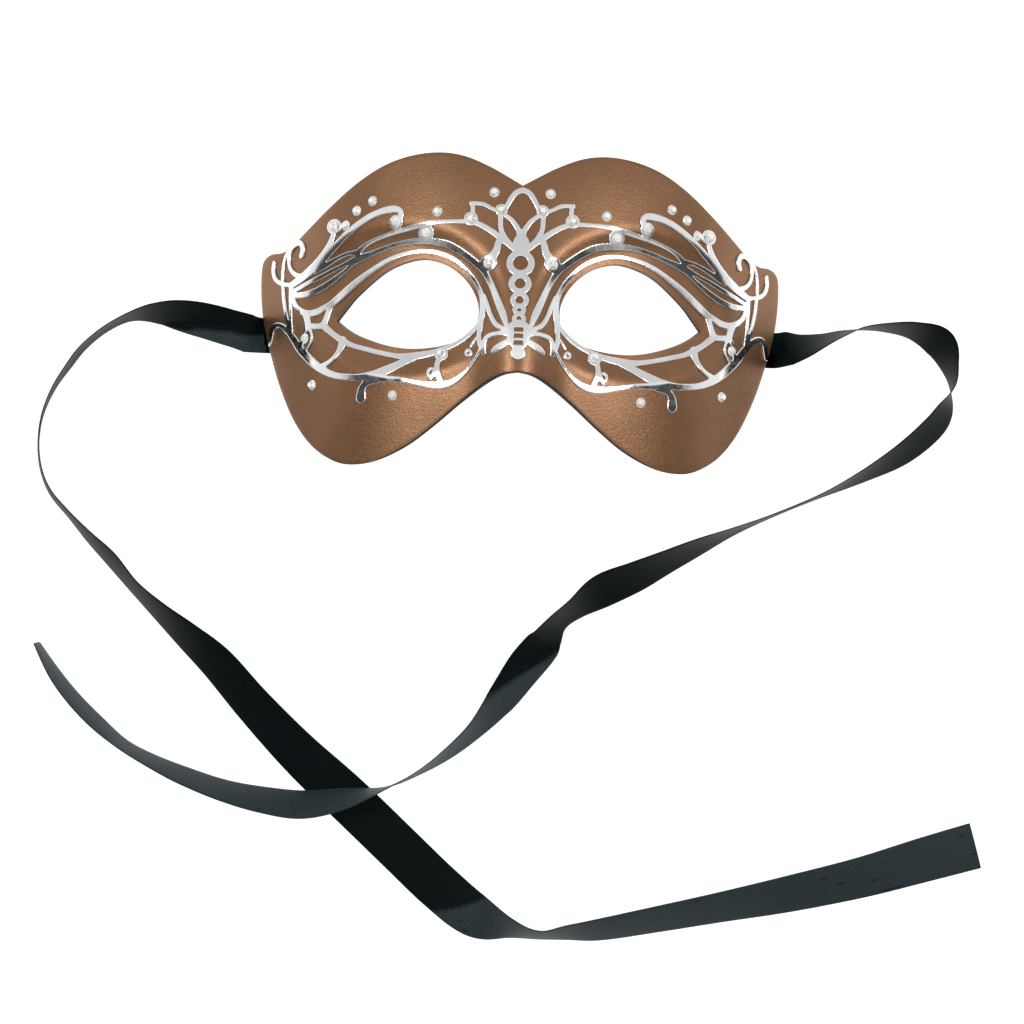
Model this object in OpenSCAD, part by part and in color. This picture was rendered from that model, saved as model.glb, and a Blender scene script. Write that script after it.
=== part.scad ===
// Venetian half mask with a metal filigree face plate, crystals and satin tie ribbons.
// The mask lies on its back: +X to the right as seen from the front, +Y towards the forehead,
// +Z out of the face. The two side flaps rest on the plane z = 0. Left and right in the names
// are as seen from the front.

/* [Mask] */
// Straight width across the two side flaps
mask_w = 174.8; // [168:0.2:182]
// Height from the top of a brow lobe to the bottom of a cheek lobe
mask_h = 102; // [98:0.5:106]
// Radius of the former that the mask is moulded over
face_r = 97; // [92:1:110]
// Height of the nose ridge above the curve of the face
nose_h = 8; // [5:0.5:10]
// Depth of the eye sockets below the brow
socket_d = 3.5; // [2:0.25:4]

/* [Layers] */
// Thickness of the moulded core
core_t = 1.2; // [0.8:0.1:2]
// Thickness of the leatherette cover
cover_t = 0.7; // [0.4:0.1:1]
// Thickness of the felt lining
lining_t = 0.6; // [0.4:0.1:1]
// How far the lining stops short of the outline and the eye holes
lining_inset = 1.2; // [0.8:0.1:2]

/* [Trim] */
// Thickness of the metal filigree
metal_t = 0.5; // [0.3:0.05:0.8]
// Diameter of a crystal
crystal_d = 3.4; // [2.8:0.1:3.6]
// Height of a crystal
crystal_h = 1.5; // [1:0.1:1.8]

/* [Ribbons] */
// Width of the satin ribbon
ribbon_w = 16; // [12:0.5:16]
// Thickness of the satin ribbon
ribbon_t = 0.4; // [0.3:0.05:0.5]
// Thickness of the patch that holds a ribbon's end inside the mask
patch_t = 0.6; // [0.4:0.1:1]

/* [Hidden] */

// Right half of the outline, from the notch at the forehead round to the bridge of the nose.
// Lists of points are drawn for a mask 174.8 wide and 102 high, and fit() scales them.
DRAWN_W = 174.8;
DRAWN_H = 102;
OUTLINE = [[0, 40.3], [5, 43.2], [11, 46.5], [19, 49.8], [27, 51], [36, 50.1], [45, 47.1],
    [54, 41.6], [63, 34.1], [71, 26.7], [76.5, 21.6], [80, 19.8], [84, 19.5], [86.8, 17], [87.4, 11],
    [87, 3], [85.8, -4.5], [83.2, -14], [79.4, -25.2], [74, -36.5], [67.5, -44.8], [60, -49.7],
    [53, -51], [45, -49.4], [35.5, -44.7], [26.7, -38], [17.8, -30.2], [10.5, -24.4],
    [5, -21.4], [0, -20.5]];
// Right eye hole, from its pointed outer corner, under the eye and back over it
EYE = [[60, -3.6], [56.5, -6.4], [51, -9.3], [42, -12.1], [33, -12.9], [24, -11.8], [17.4, -9.2],
    [13.4, -4.8], [13, 1.5], [16.4, 8.3], [22.5, 13.6], [30, 16.1], [37, 15.2], [44.5, 11.8],
    [53, 4.7], [57, 0.2], [60, -3.6]];
// The outline and the eye hole are cut into stretches that face each other
OUTLINE_CUTS = [0, 13, 15, 17, 29];
EYE_CUTS = [9, 15, 16, 1, 6];
STRETCH_STEPS = [16, 4, 4, 16];
CENTRE_STEPS = 8;
RINGS = 5;

FLAP_START = 70 * mask_w / DRAWN_W;     // the face curve runs straight from here outwards
HALF_W = mask_w / 2;
BROW_DROP = 500;                        // larger means flatter from forehead to cheek
NOSE_W = 11;
NOSE_TOP = 30;
NOSE_BOTTOM = -25;
SOCKET_AT = [38, 3];
SOCKET_SIZE = [33, 25];
SOCKET_WALL = [0.4, 1.1];
FLAP_TWIST = 0.03;                      // slope of the flaps along Y, which levels their edge
FLAP_TWIST_RANGE = [-8, 14];
STEP = 0.05;
GLUE = 0.15;                            // gap left for the glue behind the core and at the ribbons

function fit(p) = [p.x * mask_w / DRAWN_W, p.y * mask_h / DRAWN_H];
function smooth(a, b, v) = let (t = min(1, max(0, (v - a) / (b - a)))) t * t * (3 - 2 * t);
function mirror_x(p, side) = [p.x * side, p.y];

// Face surface
function face_curve(x) = x < FLAP_START ? sqrt(face_r * face_r - x * x)
    : let (rim = sqrt(face_r * face_r - FLAP_START * FLAP_START)) rim - (x - FLAP_START) * FLAP_START / rim;
function nose(x, y) = nose_h * exp(-pow(x / NOSE_W, 2)) * smooth(NOSE_TOP, NOSE_BOTTOM, y);
function socket(x, y) = let (q = pow((x - SOCKET_AT.x) / SOCKET_SIZE.x, 2) + pow((y - SOCKET_AT.y) / SOCKET_SIZE.y, 2))
    socket_d * (1 - smooth(SOCKET_WALL[0], SOCKET_WALL[1], q));
function flap_twist(x, y) = FLAP_TWIST * smooth(60, 87, x)
    * min(FLAP_TWIST_RANGE[1], max(FLAP_TWIST_RANGE[0], y));
function raw_z(x, y) = let (ax = abs(x)) face_curve(ax) + nose(ax, y) - socket(ax, y) + flap_twist(ax, y)
    - (1 - pow(ax / HALF_W, 2)) * y * y / BROW_DROP;
function slope(p) = [(raw_z(p.x + STEP, p.y) - raw_z(p.x - STEP, p.y)) / (2 * STEP),
    (raw_z(p.x, p.y + STEP) - raw_z(p.x, p.y - STEP)) / (2 * STEP)];
function normal(p) = let (s = slope(p), n = [-s.x, -s.y, 1]) n / norm(n);
function raw_point(p, lift) = [p.x, p.y, raw_z(p.x, p.y)] + normal(p) * lift;

// Smooth curve through hand-set points, with n steps between each two
function between(a, b, c, d, t) = 0.5 * (2 * b + (c - a) * t + (2 * a - 5 * b + 4 * c - d) * t * t
    + (3 * b - a - 3 * c + d) * t * t * t);
function curve(p, n) = concat([for (i = [0:len(p) - 2]) for (k = [0:n - 1])
    between(p[max(i - 1, 0)], p[i], p[i + 1], p[min(i + 2, len(p) - 1)], k / n)], [p[len(p) - 1]]);
function slice(p, a, b) = [for (i = [a:b]) p[i]];
function run_lengths(p) = [for (i = 0, s = 0; i < len(p);
    s = s + (i + 1 < len(p) ? norm(p[i + 1] - p[i]) : 0), i = i + 1) s];
// n points spaced evenly along p, without its last point
function spread(p, n) = let (s = run_lengths(p), total = s[len(s) - 1],
    xs = [for (i = [0:len(p) - 1]) [s[i], p[i].x]], ys = [for (i = [0:len(p) - 1]) [s[i], p[i].y]])
    [for (k = [0:n - 1]) [lookup(total * k / n, xs), lookup(total * k / n, ys)]];

// The mask is a ring of rays from each eye hole to the outline, closed along the centre line
FINE = 6;
outline_curve = curve([for (p = OUTLINE) fit(p)], FINE);
eye_curve = curve([for (p = EYE) fit(p)], FINE);
last_cut = len(STRETCH_STEPS);
outline_rays = [for (i = [0:last_cut - 1])
    each spread(slice(outline_curve, OUTLINE_CUTS[i] * FINE, OUTLINE_CUTS[i + 1] * FINE), STRETCH_STEPS[i])];
eye_part = function (i) i == 1 ? slice(eye_curve, EYE_CUTS[1] * FINE, EYE_CUTS[2] * FINE)
    : i == 2 ? slice(eye_curve, 0, EYE_CUTS[3] * FINE)
    : slice(eye_curve, EYE_CUTS[i] * FINE, EYE_CUTS[i + 1] * FINE);
eye_rays = concat([for (i = [0:last_cut - 1]) each spread(eye_part(i), STRETCH_STEPS[i])],
    spread(slice(eye_curve, EYE_CUTS[4] * FINE, EYE_CUTS[0] * FINE), CENTRE_STEPS));
seam_start = len(outline_rays);
ray_count = len(eye_rays);
notch = outline_curve[0];
bridge = outline_curve[len(outline_curve) - 1];

function on_seam(i) = i == 0 || i >= seam_start;
function outer_end(i, inset) = on_seam(i)
    ? [0, let (t = i == 0 ? 1 : (i - seam_start) / CENTRE_STEPS, low = bridge.y + inset, high = notch.y - inset)
        low + (high - low) * t]
    : let (d = eye_rays[i] - outline_rays[i]) outline_rays[i] + d * inset / norm(d);
function inner_end(i, inset) = let (d = outer_end(i, 0) - eye_rays[i]) eye_rays[i] + d * inset / norm(d);
function ray_point(i, j, inset) = let (a = inner_end(i, inset), b = outer_end(i, inset)) a + (b - a) * j / RINGS;

// Height that brings the lowest edge of the core to z = 0
rest_level = min([for (i = [0:seam_start - 1]) raw_point(outline_rays[i], -core_t).z]);
function on_face(p, lift) = raw_point(p, lift) - [0, 0, rest_level];

// Corner number of ray i, ring j, under (0) or upper (1) face, on the right (0) or left (1) half
function corner(half, face, j, i) = let (h = j == RINGS && on_seam(i) ? 0 : half)
    ((h * 2 + face) * (RINGS + 1) + j) * ray_count + i;
function two(a, b, c, d, flip) = flip ? [[a, c, b], [a, d, c]] : [[a, b, c], [a, c, d]];

// One bonded layer of the mask, between two heights above the face surface
module layer(low, high, inset = 0) {
    points = [for (side = [1, -1]) for (lift = [low, high]) for (j = [0:RINGS]) for (i = [0:ray_count - 1])
        let (p = ray_point(i, j, inset)) on_face(mirror_x(p, side), lift)];
    faces = [for (h = [0, 1]) for (i = [0:ray_count - 1]) let (k = (i + 1) % ray_count, flip = h == 1) each concat(
        [for (j = [0:RINGS - 1]) each concat(
            two(corner(h, 1, j, i), corner(h, 1, j + 1, i), corner(h, 1, j + 1, k), corner(h, 1, j, k), flip),
            two(corner(h, 0, j, i), corner(h, 0, j, k), corner(h, 0, j + 1, k), corner(h, 0, j + 1, i), flip))],
        two(corner(h, 1, 0, i), corner(h, 1, 0, k), corner(h, 0, 0, k), corner(h, 0, 0, i), flip),
        on_seam(i) && on_seam(k) ? []
            : two(corner(h, 1, RINGS, i), corner(h, 0, RINGS, i), corner(h, 0, RINGS, k), corner(h, 1, RINGS, k), flip))];
    polyhedron(points, faces, convexity = 8);
}

lining_low = -core_t - GLUE - lining_t;

module core_shell() {
    color("#1d1a18") layer(-core_t, 0);
}

module face_cover() {
    color("#8a5a3c") layer(0, cover_t);
}

module felt_lining() {
    color("#141414") layer(lining_low, lining_low + lining_t, lining_inset);
}

// Filigree: strokes of [x, y, width] on the right half, laid on the cover and mirrored
LOTUS = [
    [[0, 38.6, 1.8], [2, 37.8, 1.8], [3.6, 35.8, 1.7], [4.8, 33.6, 1.6], [5.8, 31.6, 1.6]],
    [[5.6, 30.6, 1.5], [3.2, 28.7, 1.6], [1.6, 26.6, 1.7], [0.6, 24.6, 2], [0, 21.6, 2.8]],
    [[6.8, 31.6, 1.7], [6.8, 28.8, 1.6], [6.5, 25.8, 1.6], [5.3, 23.1, 1.7], [3.3, 20.7, 1.8], [1, 19.2, 2.2]],
    [[7.6, 31.6, 1.5], [9.8, 32.5, 1.3], [12.6, 33.8, 1.4], [16.4, 34.1, 1.2]],
    [[16.1, 34, 1.3], [15.7, 32.4, 1.4], [15.8, 30.2, 1.5]]];
BROW = [
    [[1.8, 19.2, 2.2], [4, 21, 2.1], [6.6, 22.9, 2], [9.7, 25.1, 1.9], [13, 27, 1.8], [16.4, 28, 1.6],
        [22.2, 28.1, 1.3], [26.1, 28, 1.3], [30, 27.6, 1.5], [34, 26.9, 1.5], [38, 25.9, 1.5],
        [41.2, 25.1, 1.4], [44.7, 24, 1.3], [48.2, 22.6, 1.3], [51.2, 20.8, 1.6], [53.4, 18.4, 2.3]],
    [[6.7, 23.1, 1.7], [7.3, 20.9, 2.1], [7.8, 18.7, 2.4], [8.8, 17, 2.8], [9.9, 14.9, 4.2]]];
LIDS = [
    [[3.6, -5.4, 1.4], [4.8, -1.8, 2.1], [6.4, 2.4, 2.1], [8, 6.4, 1.9], [9.6, 9.7, 1.9], [11.3, 12.6, 2.2],
        [13.7, 15, 2.2], [16.6, 17.3, 2.2], [20, 19.6, 2.3], [23.6, 21.4, 2.3], [27.6, 22.2, 2.2],
        [31.8, 22.4, 2.1], [36.8, 22, 1.9], [40.8, 21, 1.8], [44.8, 19.7, 1.8], [48.4, 18.3, 2], [53.4, 16.6, 2.9]],
    [[11.4, -3.2, 1.7], [11.1, -0.2, 1.9], [11.3, 3.3, 1.9], [12.3, 6.1, 1.6], [13.7, 8.8, 1.5], [15.6, 11.3, 1.5],
        [18, 13.8, 1.6], [20.8, 15.9, 1.7], [24, 17.5, 1.8], [27.7, 18.6, 1.7], [31.9, 18.8, 1.6],
        [35.6, 18.4, 1.5], [39.6, 17.3, 1.5], [43.6, 15.5, 1.6], [47, 13.4, 1.7], [51, 10.6, 2],
        [54.8, 7.6, 2.3], [58.4, 4.5, 2.5], [61.9, 1.6, 2.4]],
    [[4, -6.9, 1.6], [6.6, -5.4, 1.5], [8.3, -2.6, 1.4], [9.6, 0.9, 1.5], [11, 4.3, 1.5]]];
OUTER_CORNER = [
    [[61.9, 1.6, 2.3], [62.6, -0.9, 1.9], [63.4, -3.3, 2], [64.4, -5.3, 2.3], [66.4, -5.6, 2], [68.8, -5.3, 2]],
    [[62, 1.8, 2], [64.2, 0.7, 2], [66.4, -0.6, 2.3], [68.9, -1.2, 2.4], [71.3, -0.6, 2.2], [73.4, 1.1, 1.8],
        [74.7, 3.5, 1.5], [75.4, 6.6, 1.5]],
    [[70.6, -1.3, 2], [69.7, -3.6, 2.3], [69.6, -5.6, 1.9], [70.6, -7.4, 1.3], [71, -9.6, 1.3], [71.5, -11.6, 1.5]],
    [[69, -5.8, 1.1], [68, -8, 0.9], [68.1, -10.2, 0.9], [69.2, -12.1, 1], [70.5, -13.4, 1.3]],
    [[64.2, -5.3, 2.4], [62.3, -6.9, 2.2], [60.2, -8.6, 2], [57.4, -10.4, 2.3], [54, -12.1, 1.9], [49.5, -13.3, 1.9],
        [44.7, -14.5, 1.9], [39.9, -15.5, 2], [36.6, -15.8, 2.4], [33.3, -15.6, 2.7], [30, -15.1, 2.4],
        [26.7, -14.3, 2], [23.5, -13.2, 1.7], [20.3, -11.8, 1.6], [17.4, -10.1, 1.6], [14.8, -7.9, 1.6],
        [12.4, -5.3, 1.6], [11.4, -3, 1.7]]];
CHEEK = [
    [[57.3, -10.3, 2.8], [57.7, -12.3, 2.3], [58.6, -14.3, 1.7], [60.1, -16.2, 1.4], [61.9, -17.6, 1.5], [64, -18.9, 2]],
    [[83.2, -10.8, 1.3], [82.8, -8.4, 1.5], [82.4, -6.2, 1.7], [81.1, -4.6, 1.8], [79.2, -4.7, 1.8], [77.2, -6.2, 2],
        [75.5, -7.9, 2.3], [73.7, -10.2, 2.6], [71.8, -12.8, 2.8], [69.4, -15.3, 2.8], [66.8, -17.7, 2.8],
        [64.1, -19.6, 2.5], [60.9, -21.2, 2.2], [57.2, -22.1, 2], [51.4, -22.4, 2.2], [46.4, -21.9, 2.8],
        [42.3, -20.4, 2.8], [39.1, -18.9, 2.6], [36.3, -17.5, 2.4], [33.3, -16, 2.5]],
    [[46.4, -22.7, 2.4], [41.6, -22.9, 1.7], [37.2, -23.2, 1.5], [33.8, -23.7, 1.6], [30.7, -24.2, 1.8],
        [27.8, -24.6, 2.2], [24.5, -24.6, 2.4], [21.3, -23.8, 2.1], [18.7, -22.3, 1.7], [16.2, -20, 1.3],
        [14, -17.1, 1], [12.2, -14.4, 0.9], [11.2, -12.6, 1.1]],
    [[45, -23, 2.6], [47.6, -23.6, 2.4], [49.4, -24.8, 2.3], [50.2, -26.5, 2.6], [50.4, -28.4, 3.1], [50.4, -29.2, 3.2]],
    [[24.8, -15.6, 1.8], [25.5, -18, 1.7], [25.6, -20.2, 1.8], [24.6, -23.2, 2.2]],
    [[27.6, -22.6, 1.2], [26.4, -20.6, 1.2]],
    [[12.6, -9.6, 1], [13.8, -10.9, 0.8], [14.7, -12.4, 0.8]]];
NOSE_END = [
    [[2.8, -8, 2.2], [5.5, -8.1, 1.6], [8, -8.6, 1.5], [9.8, -9.8, 1.4], [10.5, -11.9, 1.4], [10.4, -14.2, 1.5]],
    [[11.4, -3.2, 1.7], [11.6, -5.7, 1.5], [12, -8.2, 1.5], [11.9, -10.5, 1.6], [11.3, -12.7, 1.5], [10.6, -14.3, 1.2]],
    [[2.2, -10.4, 2], [4.4, -11.6, 2.1], [6.2, -12.8, 2.1], [7.4, -13.8, 1.5]]];
TEMPLE = [
    [[39, 29.6, 1.5], [39, 31.3, 1.9], [40.5, 32.2, 2.3], [42.8, 32.1, 2.5], [46, 31.4, 2.2], [49.8, 29.7, 2.1],
        [53.3, 27.4, 2], [56.6, 24.9, 1.9], [59.2, 22.4, 1.9], [61.8, 19.9, 2.1], [64.1, 17.6, 2.3],
        [66.6, 15.3, 2.7], [69.4, 12.9, 2.8], [72, 10.9, 2.7], [75.7, 8.6, 2.3]],
    [[61.2, 25, 1.5], [62.1, 22.3, 1.8], [63.5, 19.8, 2], [65.3, 17.4, 2.1], [67.3, 15.2, 2.2]],
    [[72.5, 18.2, 1.5], [72, 20.5, 1.6], [72.7, 22.4, 1.7], [74.4, 22.5, 1.9], [76, 21, 1.5], [76.8, 18.9, 1.2],
        [76.9, 16.5, 1.2], [76.2, 14.1, 1.3], [74.4, 12.2, 1.5], [72, 11.3, 1.9]],
    [[76, 21.2, 1.2], [77.7, 19.3, 1.1], [78.6, 17, 1], [79, 14.2, 1], [79.1, 11.2, 1], [78.8, 8.2, 1.1],
        [78.5, 5, 1.2], [77.9, 1.4, 1.2], [77.1, -2.1, 1.2], [76.2, -5.6, 1.5]],
    [[82.4, 16.8, 1.1], [82.6, 14.2, 1.3], [82, 11.7, 1.4], [80.5, 10, 1.4], [78.1, 9.1, 1.4], [75.8, 8.8, 1.5]],
    [[53, 19, 1.8], [56.5, 18.6, 1.4], [59.5, 17.4, 1.4], [62.2, 16, 1.6], [64.6, 14.6, 1.8], [67.4, 13.2, 1.9]],
    [[53.8, 16.8, 2], [58.3, 14.7, 1.4], [62.1, 13, 1.5], [66, 11, 1.5], [69.8, 9.1, 1.5], [73.4, 7.3, 1.5],
        [75.6, 6.4, 1.5]],
    [[53.8, 16, 2.2], [56.2, 13.7, 1.5], [58.6, 11.8, 1.7], [61.4, 9.8, 2], [64.4, 7.9, 2.1], [67.6, 6.3, 2.1],
        [70.8, 5.4, 2], [74.4, 5.2, 1.8]],
    [[75.7, 8.7, 1.6], [75.9, 4.9, 1.3], [75.8, 1.1, 1.1], [75.6, -2.8, 1.1], [75.4, -6.6, 1.5]]];
STROKES = concat(LOTUS, BROW, LIDS, OUTER_CORNER, CHEEK, NOSE_END, TEMPLE);

// Rings on the centre line, each [y, outer radius, inner radius], and the solid column below them
BEADS = [[14.7, 4.4, 2.3], [8, 3.5, 1.6], [2.6, 2.8, 1.2], [-0.5, 2, 0.6], [-3.4, 2, 0.7]];
COLUMN = [[0, 21.6, 5], [0, 20, 5]];
NOSE_COLUMN = [[0, -6.4, 4.6], [0, -7, 6.6], [0, -8, 7.2], [0, -10, 6], [0, -11.8, 3.6]];
NOSE_SLOTS = [-6.9, -8.9, -11.1];      // heights of the slots cut across the nose column
NOSE_SLOT = [2.7, 1.3];
CUT_TALL = 200;                         // taller than the whole part, so that a cut goes through
NOSE_DROP = [0, -14.3, 2.1];
// Rings on the right half, each [x, y, outer radius, inner radius]; an inner radius of 0 is a disc
RING_AT = [[9.9, 14.9, 2.6, 0], [30.5, 24.9, 2.6, 0], [61.1, 27.3, 2.5, 1.4], [27.4, -20.9, 1.6, 0.7],
    [15.4, -14.4, 1.3, 0.4], [6.6, 32, 2, 0], [16.2, 29, 2.3, 0], [24.4, -14.9, 2.3, 0], [40.4, 28.2, 2.2, 0]];
METAL_GAP = 0.05;
metal_low = cover_t + METAL_GAP;
metal_high = metal_low + metal_t;

module solid_through(plan) {
    count = len(plan);
    points = concat([for (p = plan) on_face(p, metal_low)], [for (p = plan) on_face(p, metal_high)]);
    hull() polyhedron(points, [[for (i = [0:count - 1]) i], [for (i = [0:count - 1]) 2 * count - 1 - i]]);
}

function across(p, i) = let (a = p[max(i - 1, 0)], b = p[min(i + 1, len(p) - 1)], d = [a.y - b.y, b.x - a.x])
    d / norm(d) * p[i][2] / 2;

module stroke(p) {
    for (i = [0:len(p) - 2]) {
        a = [p[i].x, p[i].y];
        b = [p[i + 1].x, p[i + 1].y];
        solid_through([fit(a + across(p, i)), fit(a - across(p, i)), fit(b - across(p, i + 1)), fit(b + across(p, i + 1))]);
    }
}

module ring(x, y, outer, inner, sides = 9) {
    rim = [for (i = [0:sides]) [x + outer * cos(360 * i / sides), y + outer * sin(360 * i / sides)]];
    middle = (outer + inner) / 2;
    if (inner == 0) solid_through([for (i = [0:sides - 1]) fit(rim[i])]);
    else stroke([for (i = [0:sides]) [x + middle * cos(360 * i / sides), y + middle * sin(360 * i / sides), outer - inner]]);
}

module nose_column() {
    difference() {
        stroke(NOSE_COLUMN);
        for (y = NOSE_SLOTS) translate([0, y, 0]) cube([NOSE_SLOT.x, NOSE_SLOT.y, CUT_TALL], center = true);
    }
}

module filigree_plate() {
    color("silver") union() {
        for (side = [0, 1]) mirror([side, 0, 0]) {
            for (s = STROKES) stroke(s);
            for (r = RING_AT) ring(r[0], r[1], r[2], r[3]);
        }
        for (b = BEADS) ring(0, b[0], b[1], b[2]);
        stroke(COLUMN);
        nose_column();
        ring(NOSE_DROP.x, NOSE_DROP.y, NOSE_DROP[2], 0);
    }
}

// Crystals: flat backs, a short straight girdle and a bevelled crown with a flat top
CREST_ON_METAL = [[6.6, 32], [16.2, 29]];
CREST_ON_COVER = [[9, 37.8]];
BROW_ON_COVER = [[27.2, 31.4]];
LID_ON_METAL = [[9.9, 14.9], [30.5, 24.9]];
TEMPLE_ON_METAL = [[40.4, 28.2], [61.1, 27.3]];
TEMPLE_ON_COVER = [[48.6, 35.2], [53.8, 32.2], [57.4, 27.5]];
CHEEK_ON_METAL = [[24.4, -14.9], [69.9, -9.3]];
CHEEK_ON_COVER = [[67.4, -24.8], [40.1, -28.2]];
GIRDLE = 0.4;
TABLE = 0.5;

module crystal(p, lift) {
    n = normal(p);
    translate(on_face(p, lift)) rotate([0, acos(n.z), atan2(n.y, n.x)]) {
        cylinder(h = GIRDLE, d = crystal_d, $fn = 24);
        translate([0, 0, GIRDLE]) cylinder(h = crystal_h - GIRDLE, d1 = crystal_d, d2 = crystal_d * TABLE, $fn = 24);
    }
}

module crystals(on_metal, on_cover, side) {
    color("white") {
        for (p = on_metal) crystal(mirror_x(fit(p), side), metal_high);
        for (p = on_cover) crystal(mirror_x(fit(p), side), cover_t);
    }
}

module crest_crystals() {
    for (side = [-1, 1]) crystals(CREST_ON_METAL, CREST_ON_COVER, side);
}

module brow_crystal(side) {
    crystals([], BROW_ON_COVER, side);
}

module lid_crystals(side) {
    crystals(LID_ON_METAL, [], side);
}

module temple_crystals(side) {
    crystals(TEMPLE_ON_METAL, TEMPLE_ON_COVER, side);
}

module cheek_crystals(side) {
    crystals(CHEEK_ON_METAL, CHEEK_ON_COVER, side);
}

// Ribbons: route points [x, y, roll, lift]. A roll of 0 lies flat and 90 stands on edge.
// A ribbon starts glued to the lining inside the flap, lies flat on the resting plane where it
// passes under the edge of the flap, and follows its route from there.
ROUTE_LEFT = [[-91.5, -7.2, 34, 0], [-97, -5.7, 45, 0], [-108.6, -3, 49, 0], [-121, -1.7, 66, 0],
    [-131, -3.2, 85, 0], [-139.3, -7.6, 90, 0], [-146.3, -13.7, 91, 0], [-151, -20, 92, 0], [-156, -28, 95, 0],
    [-159.4, -37, 98, 0], [-160.4, -46, 100, 0], [-159.4, -55, 101, 0], [-156, -63, 102, 0], [-149.4, -70.5, 103, 0],
    [-142.7, -77.6, 108, 0], [-135, -85, 113, 0], [-127, -94, 111, 0], [-118.2, -102.1, 118, 0],
    [-108.4, -110.4, 131, 0], [-98.3, -119.3, 143, 0], [-85.9, -133, 149, 0], [-70.5, -148.6, 160, 0],
    [-52.6, -164.7, 177, 0], [-35.3, -180.5, 178, 0], [-21.5, -193, 177, 0], [-9.3, -202, 165, 0],
    [3.3, -205.6, 122, 0], [13, -207.3, 109, 0], [22.9, -206.2, 117, 0], [34, -204.9, 126, 0], [54.2, -200.7, 132, 0],
    [75, -196.2, 138, 0], [97, -191.4, 148, 0], [121.4, -185.3, 157, 0], [143.2, -178.7, 168, 0], [160.3, -173.6, 176, 0]];
ROUTE_RIGHT = [[91.5, -6.9, 42, 0], [96.3, -6, 57, 0], [103.4, -3.6, 73, 0], [109.5, -1.3, 81, 0], [115.8, 0.4, 90, 0],
    [124, 0.9, 97, 0], [133.3, 0.1, 107, 0], [142, -3.8, 122, 0], [145.7, -12.1, 102, 0], [146.7, -19, 86, 0],
    [144.7, -26.4, 62, 0], [140.6, -32.8, 56, 0], [130.9, -41.4, 60, 0], [117.7, -49.3, 73, 0], [102.9, -56.8, 84, 0],
    [88, -63.5, 85, 0], [74.7, -69.3, 79, 0], [62.6, -75.1, 67, 0], [51.8, -80.6, 58, 0], [41.9, -85.7, 48, 0],
    [30.9, -90.8, 43, 0], [22, -97, 61, 0], [15.9, -102.2, 63, 0], [11.4, -109.7, 44, 0], [5.3, -117.6, 34, 0],
    [-1.9, -128.1, 49, 0], [-9.8, -138.1, 65, 0], [-19.2, -146.8, 73, 0], [-29.1, -153.8, 81, 0],
    [-40.1, -159.3, 88, 1], [-55, -163.3, 112, 2], [-68, -165.6, 120, 1.2], [-80.8, -164.6, 117, 0],
    [-94.8, -161.7, 110, 0], [-108.9, -156.9, 105, 0], [-120, -152.1, 99, 0], [-129.4, -147, 96, 0],
    [-138.3, -139.9, 99, 0], [-146.2, -132.2, 98, 0], [-152.9, -123.9, 95, 0], [-159.2, -113.8, 87, 0]];
GLUED = [[74.5, -7.5], [77, -7.5], [79.5, -7.5]];
UNDER_EDGE = [[83.4, -7.5], [87.8, -7.5]];
GATHERED_W = 12;                        // width of the ribbon where it is glued and under the edge
SKIM = 0.05;                            // clearance above the resting plane
ribbon_lift = lining_low - 2 * GLUE - ribbon_t / 2;

// Cross-section of the ribbon: a middle, the direction of its width and the direction of its thickness
function flat_section(middle, along_w, along_t, w) = [for (s = [[-1, -1], [1, -1], [1, 1], [-1, 1]])
    middle + along_w * s.x * w / 2 + along_t * s.y * ribbon_t / 2];
function glued_section(p, side) = let (q = mirror_x(fit(p), side), n = normal(q), w = [0, -n.z, n.y])
    flat_section(on_face(q, ribbon_lift), w / norm(w), n, GATHERED_W);
function edge_section(p, side) = let (q = mirror_x(fit(p), side))
    flat_section([q.x, q.y, SKIM + ribbon_t / 2], [0, -1, 0], [0, 0, 1], GATHERED_W);
function route_section(p, i, side) = let (a = p[max(i - 1, 0)], b = p[min(i + 1, len(p) - 1)], d = [b.x - a.x, b.y - a.y],
    level = side * [d.y, -d.x, 0] / norm(d), roll = p[i][2], along_w = level * cos(roll) + [0, 0, side * sin(roll)],
    along_t = -side * cross([d.x, d.y, 0] / norm(d), along_w), rise = abs(sin(roll)) * ribbon_w / 2
    + abs(cos(roll)) * ribbon_t / 2 + SKIM + max(p[i][3], 0))
    flat_section([p[i].x, p[i].y, rise], along_w, along_t, ribbon_w);

module ribbon(route, side) {
    shift = (mask_w - DRAWN_W) / 2 * side;
    p = curve([for (r = route) [r[0] + shift, r[1], r[2], r[3]]], 2);
    sections = concat([for (g = GLUED) glued_section(g, side)], [for (e = UNDER_EDGE) edge_section(e, side)],
        [for (i = [0:len(p) - 1]) route_section(p, i, side)]);
    count = len(sections);
    points = [for (s = sections) each s];
    flip = side < 0;
    // Both broad faces are split along the same diagonal, so that they stay apart in a twist
    faces = concat(
        [for (i = [0:count - 2]) for (k = [0:3]) let (m = (k + 1) % 4, a = 4 * i + k, b = 4 * i + m)
            each k == 2 ? two(b, b + 4, a + 4, a, flip) : two(a, b, b + 4, a + 4, flip)],
        two(3, 2, 1, 0, flip), two(4 * count - 4, 4 * count - 3, 4 * count - 2, 4 * count - 1, flip));
    color("#15181c") polyhedron(points, faces, convexity = 10);
}

// Patch glued over the end of a ribbon, inside the flap
PATCH_X = [69, 79];
PATCH_Y = [-15.5, 0.5];
PATCH_STEPS = [4, 4];

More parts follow.
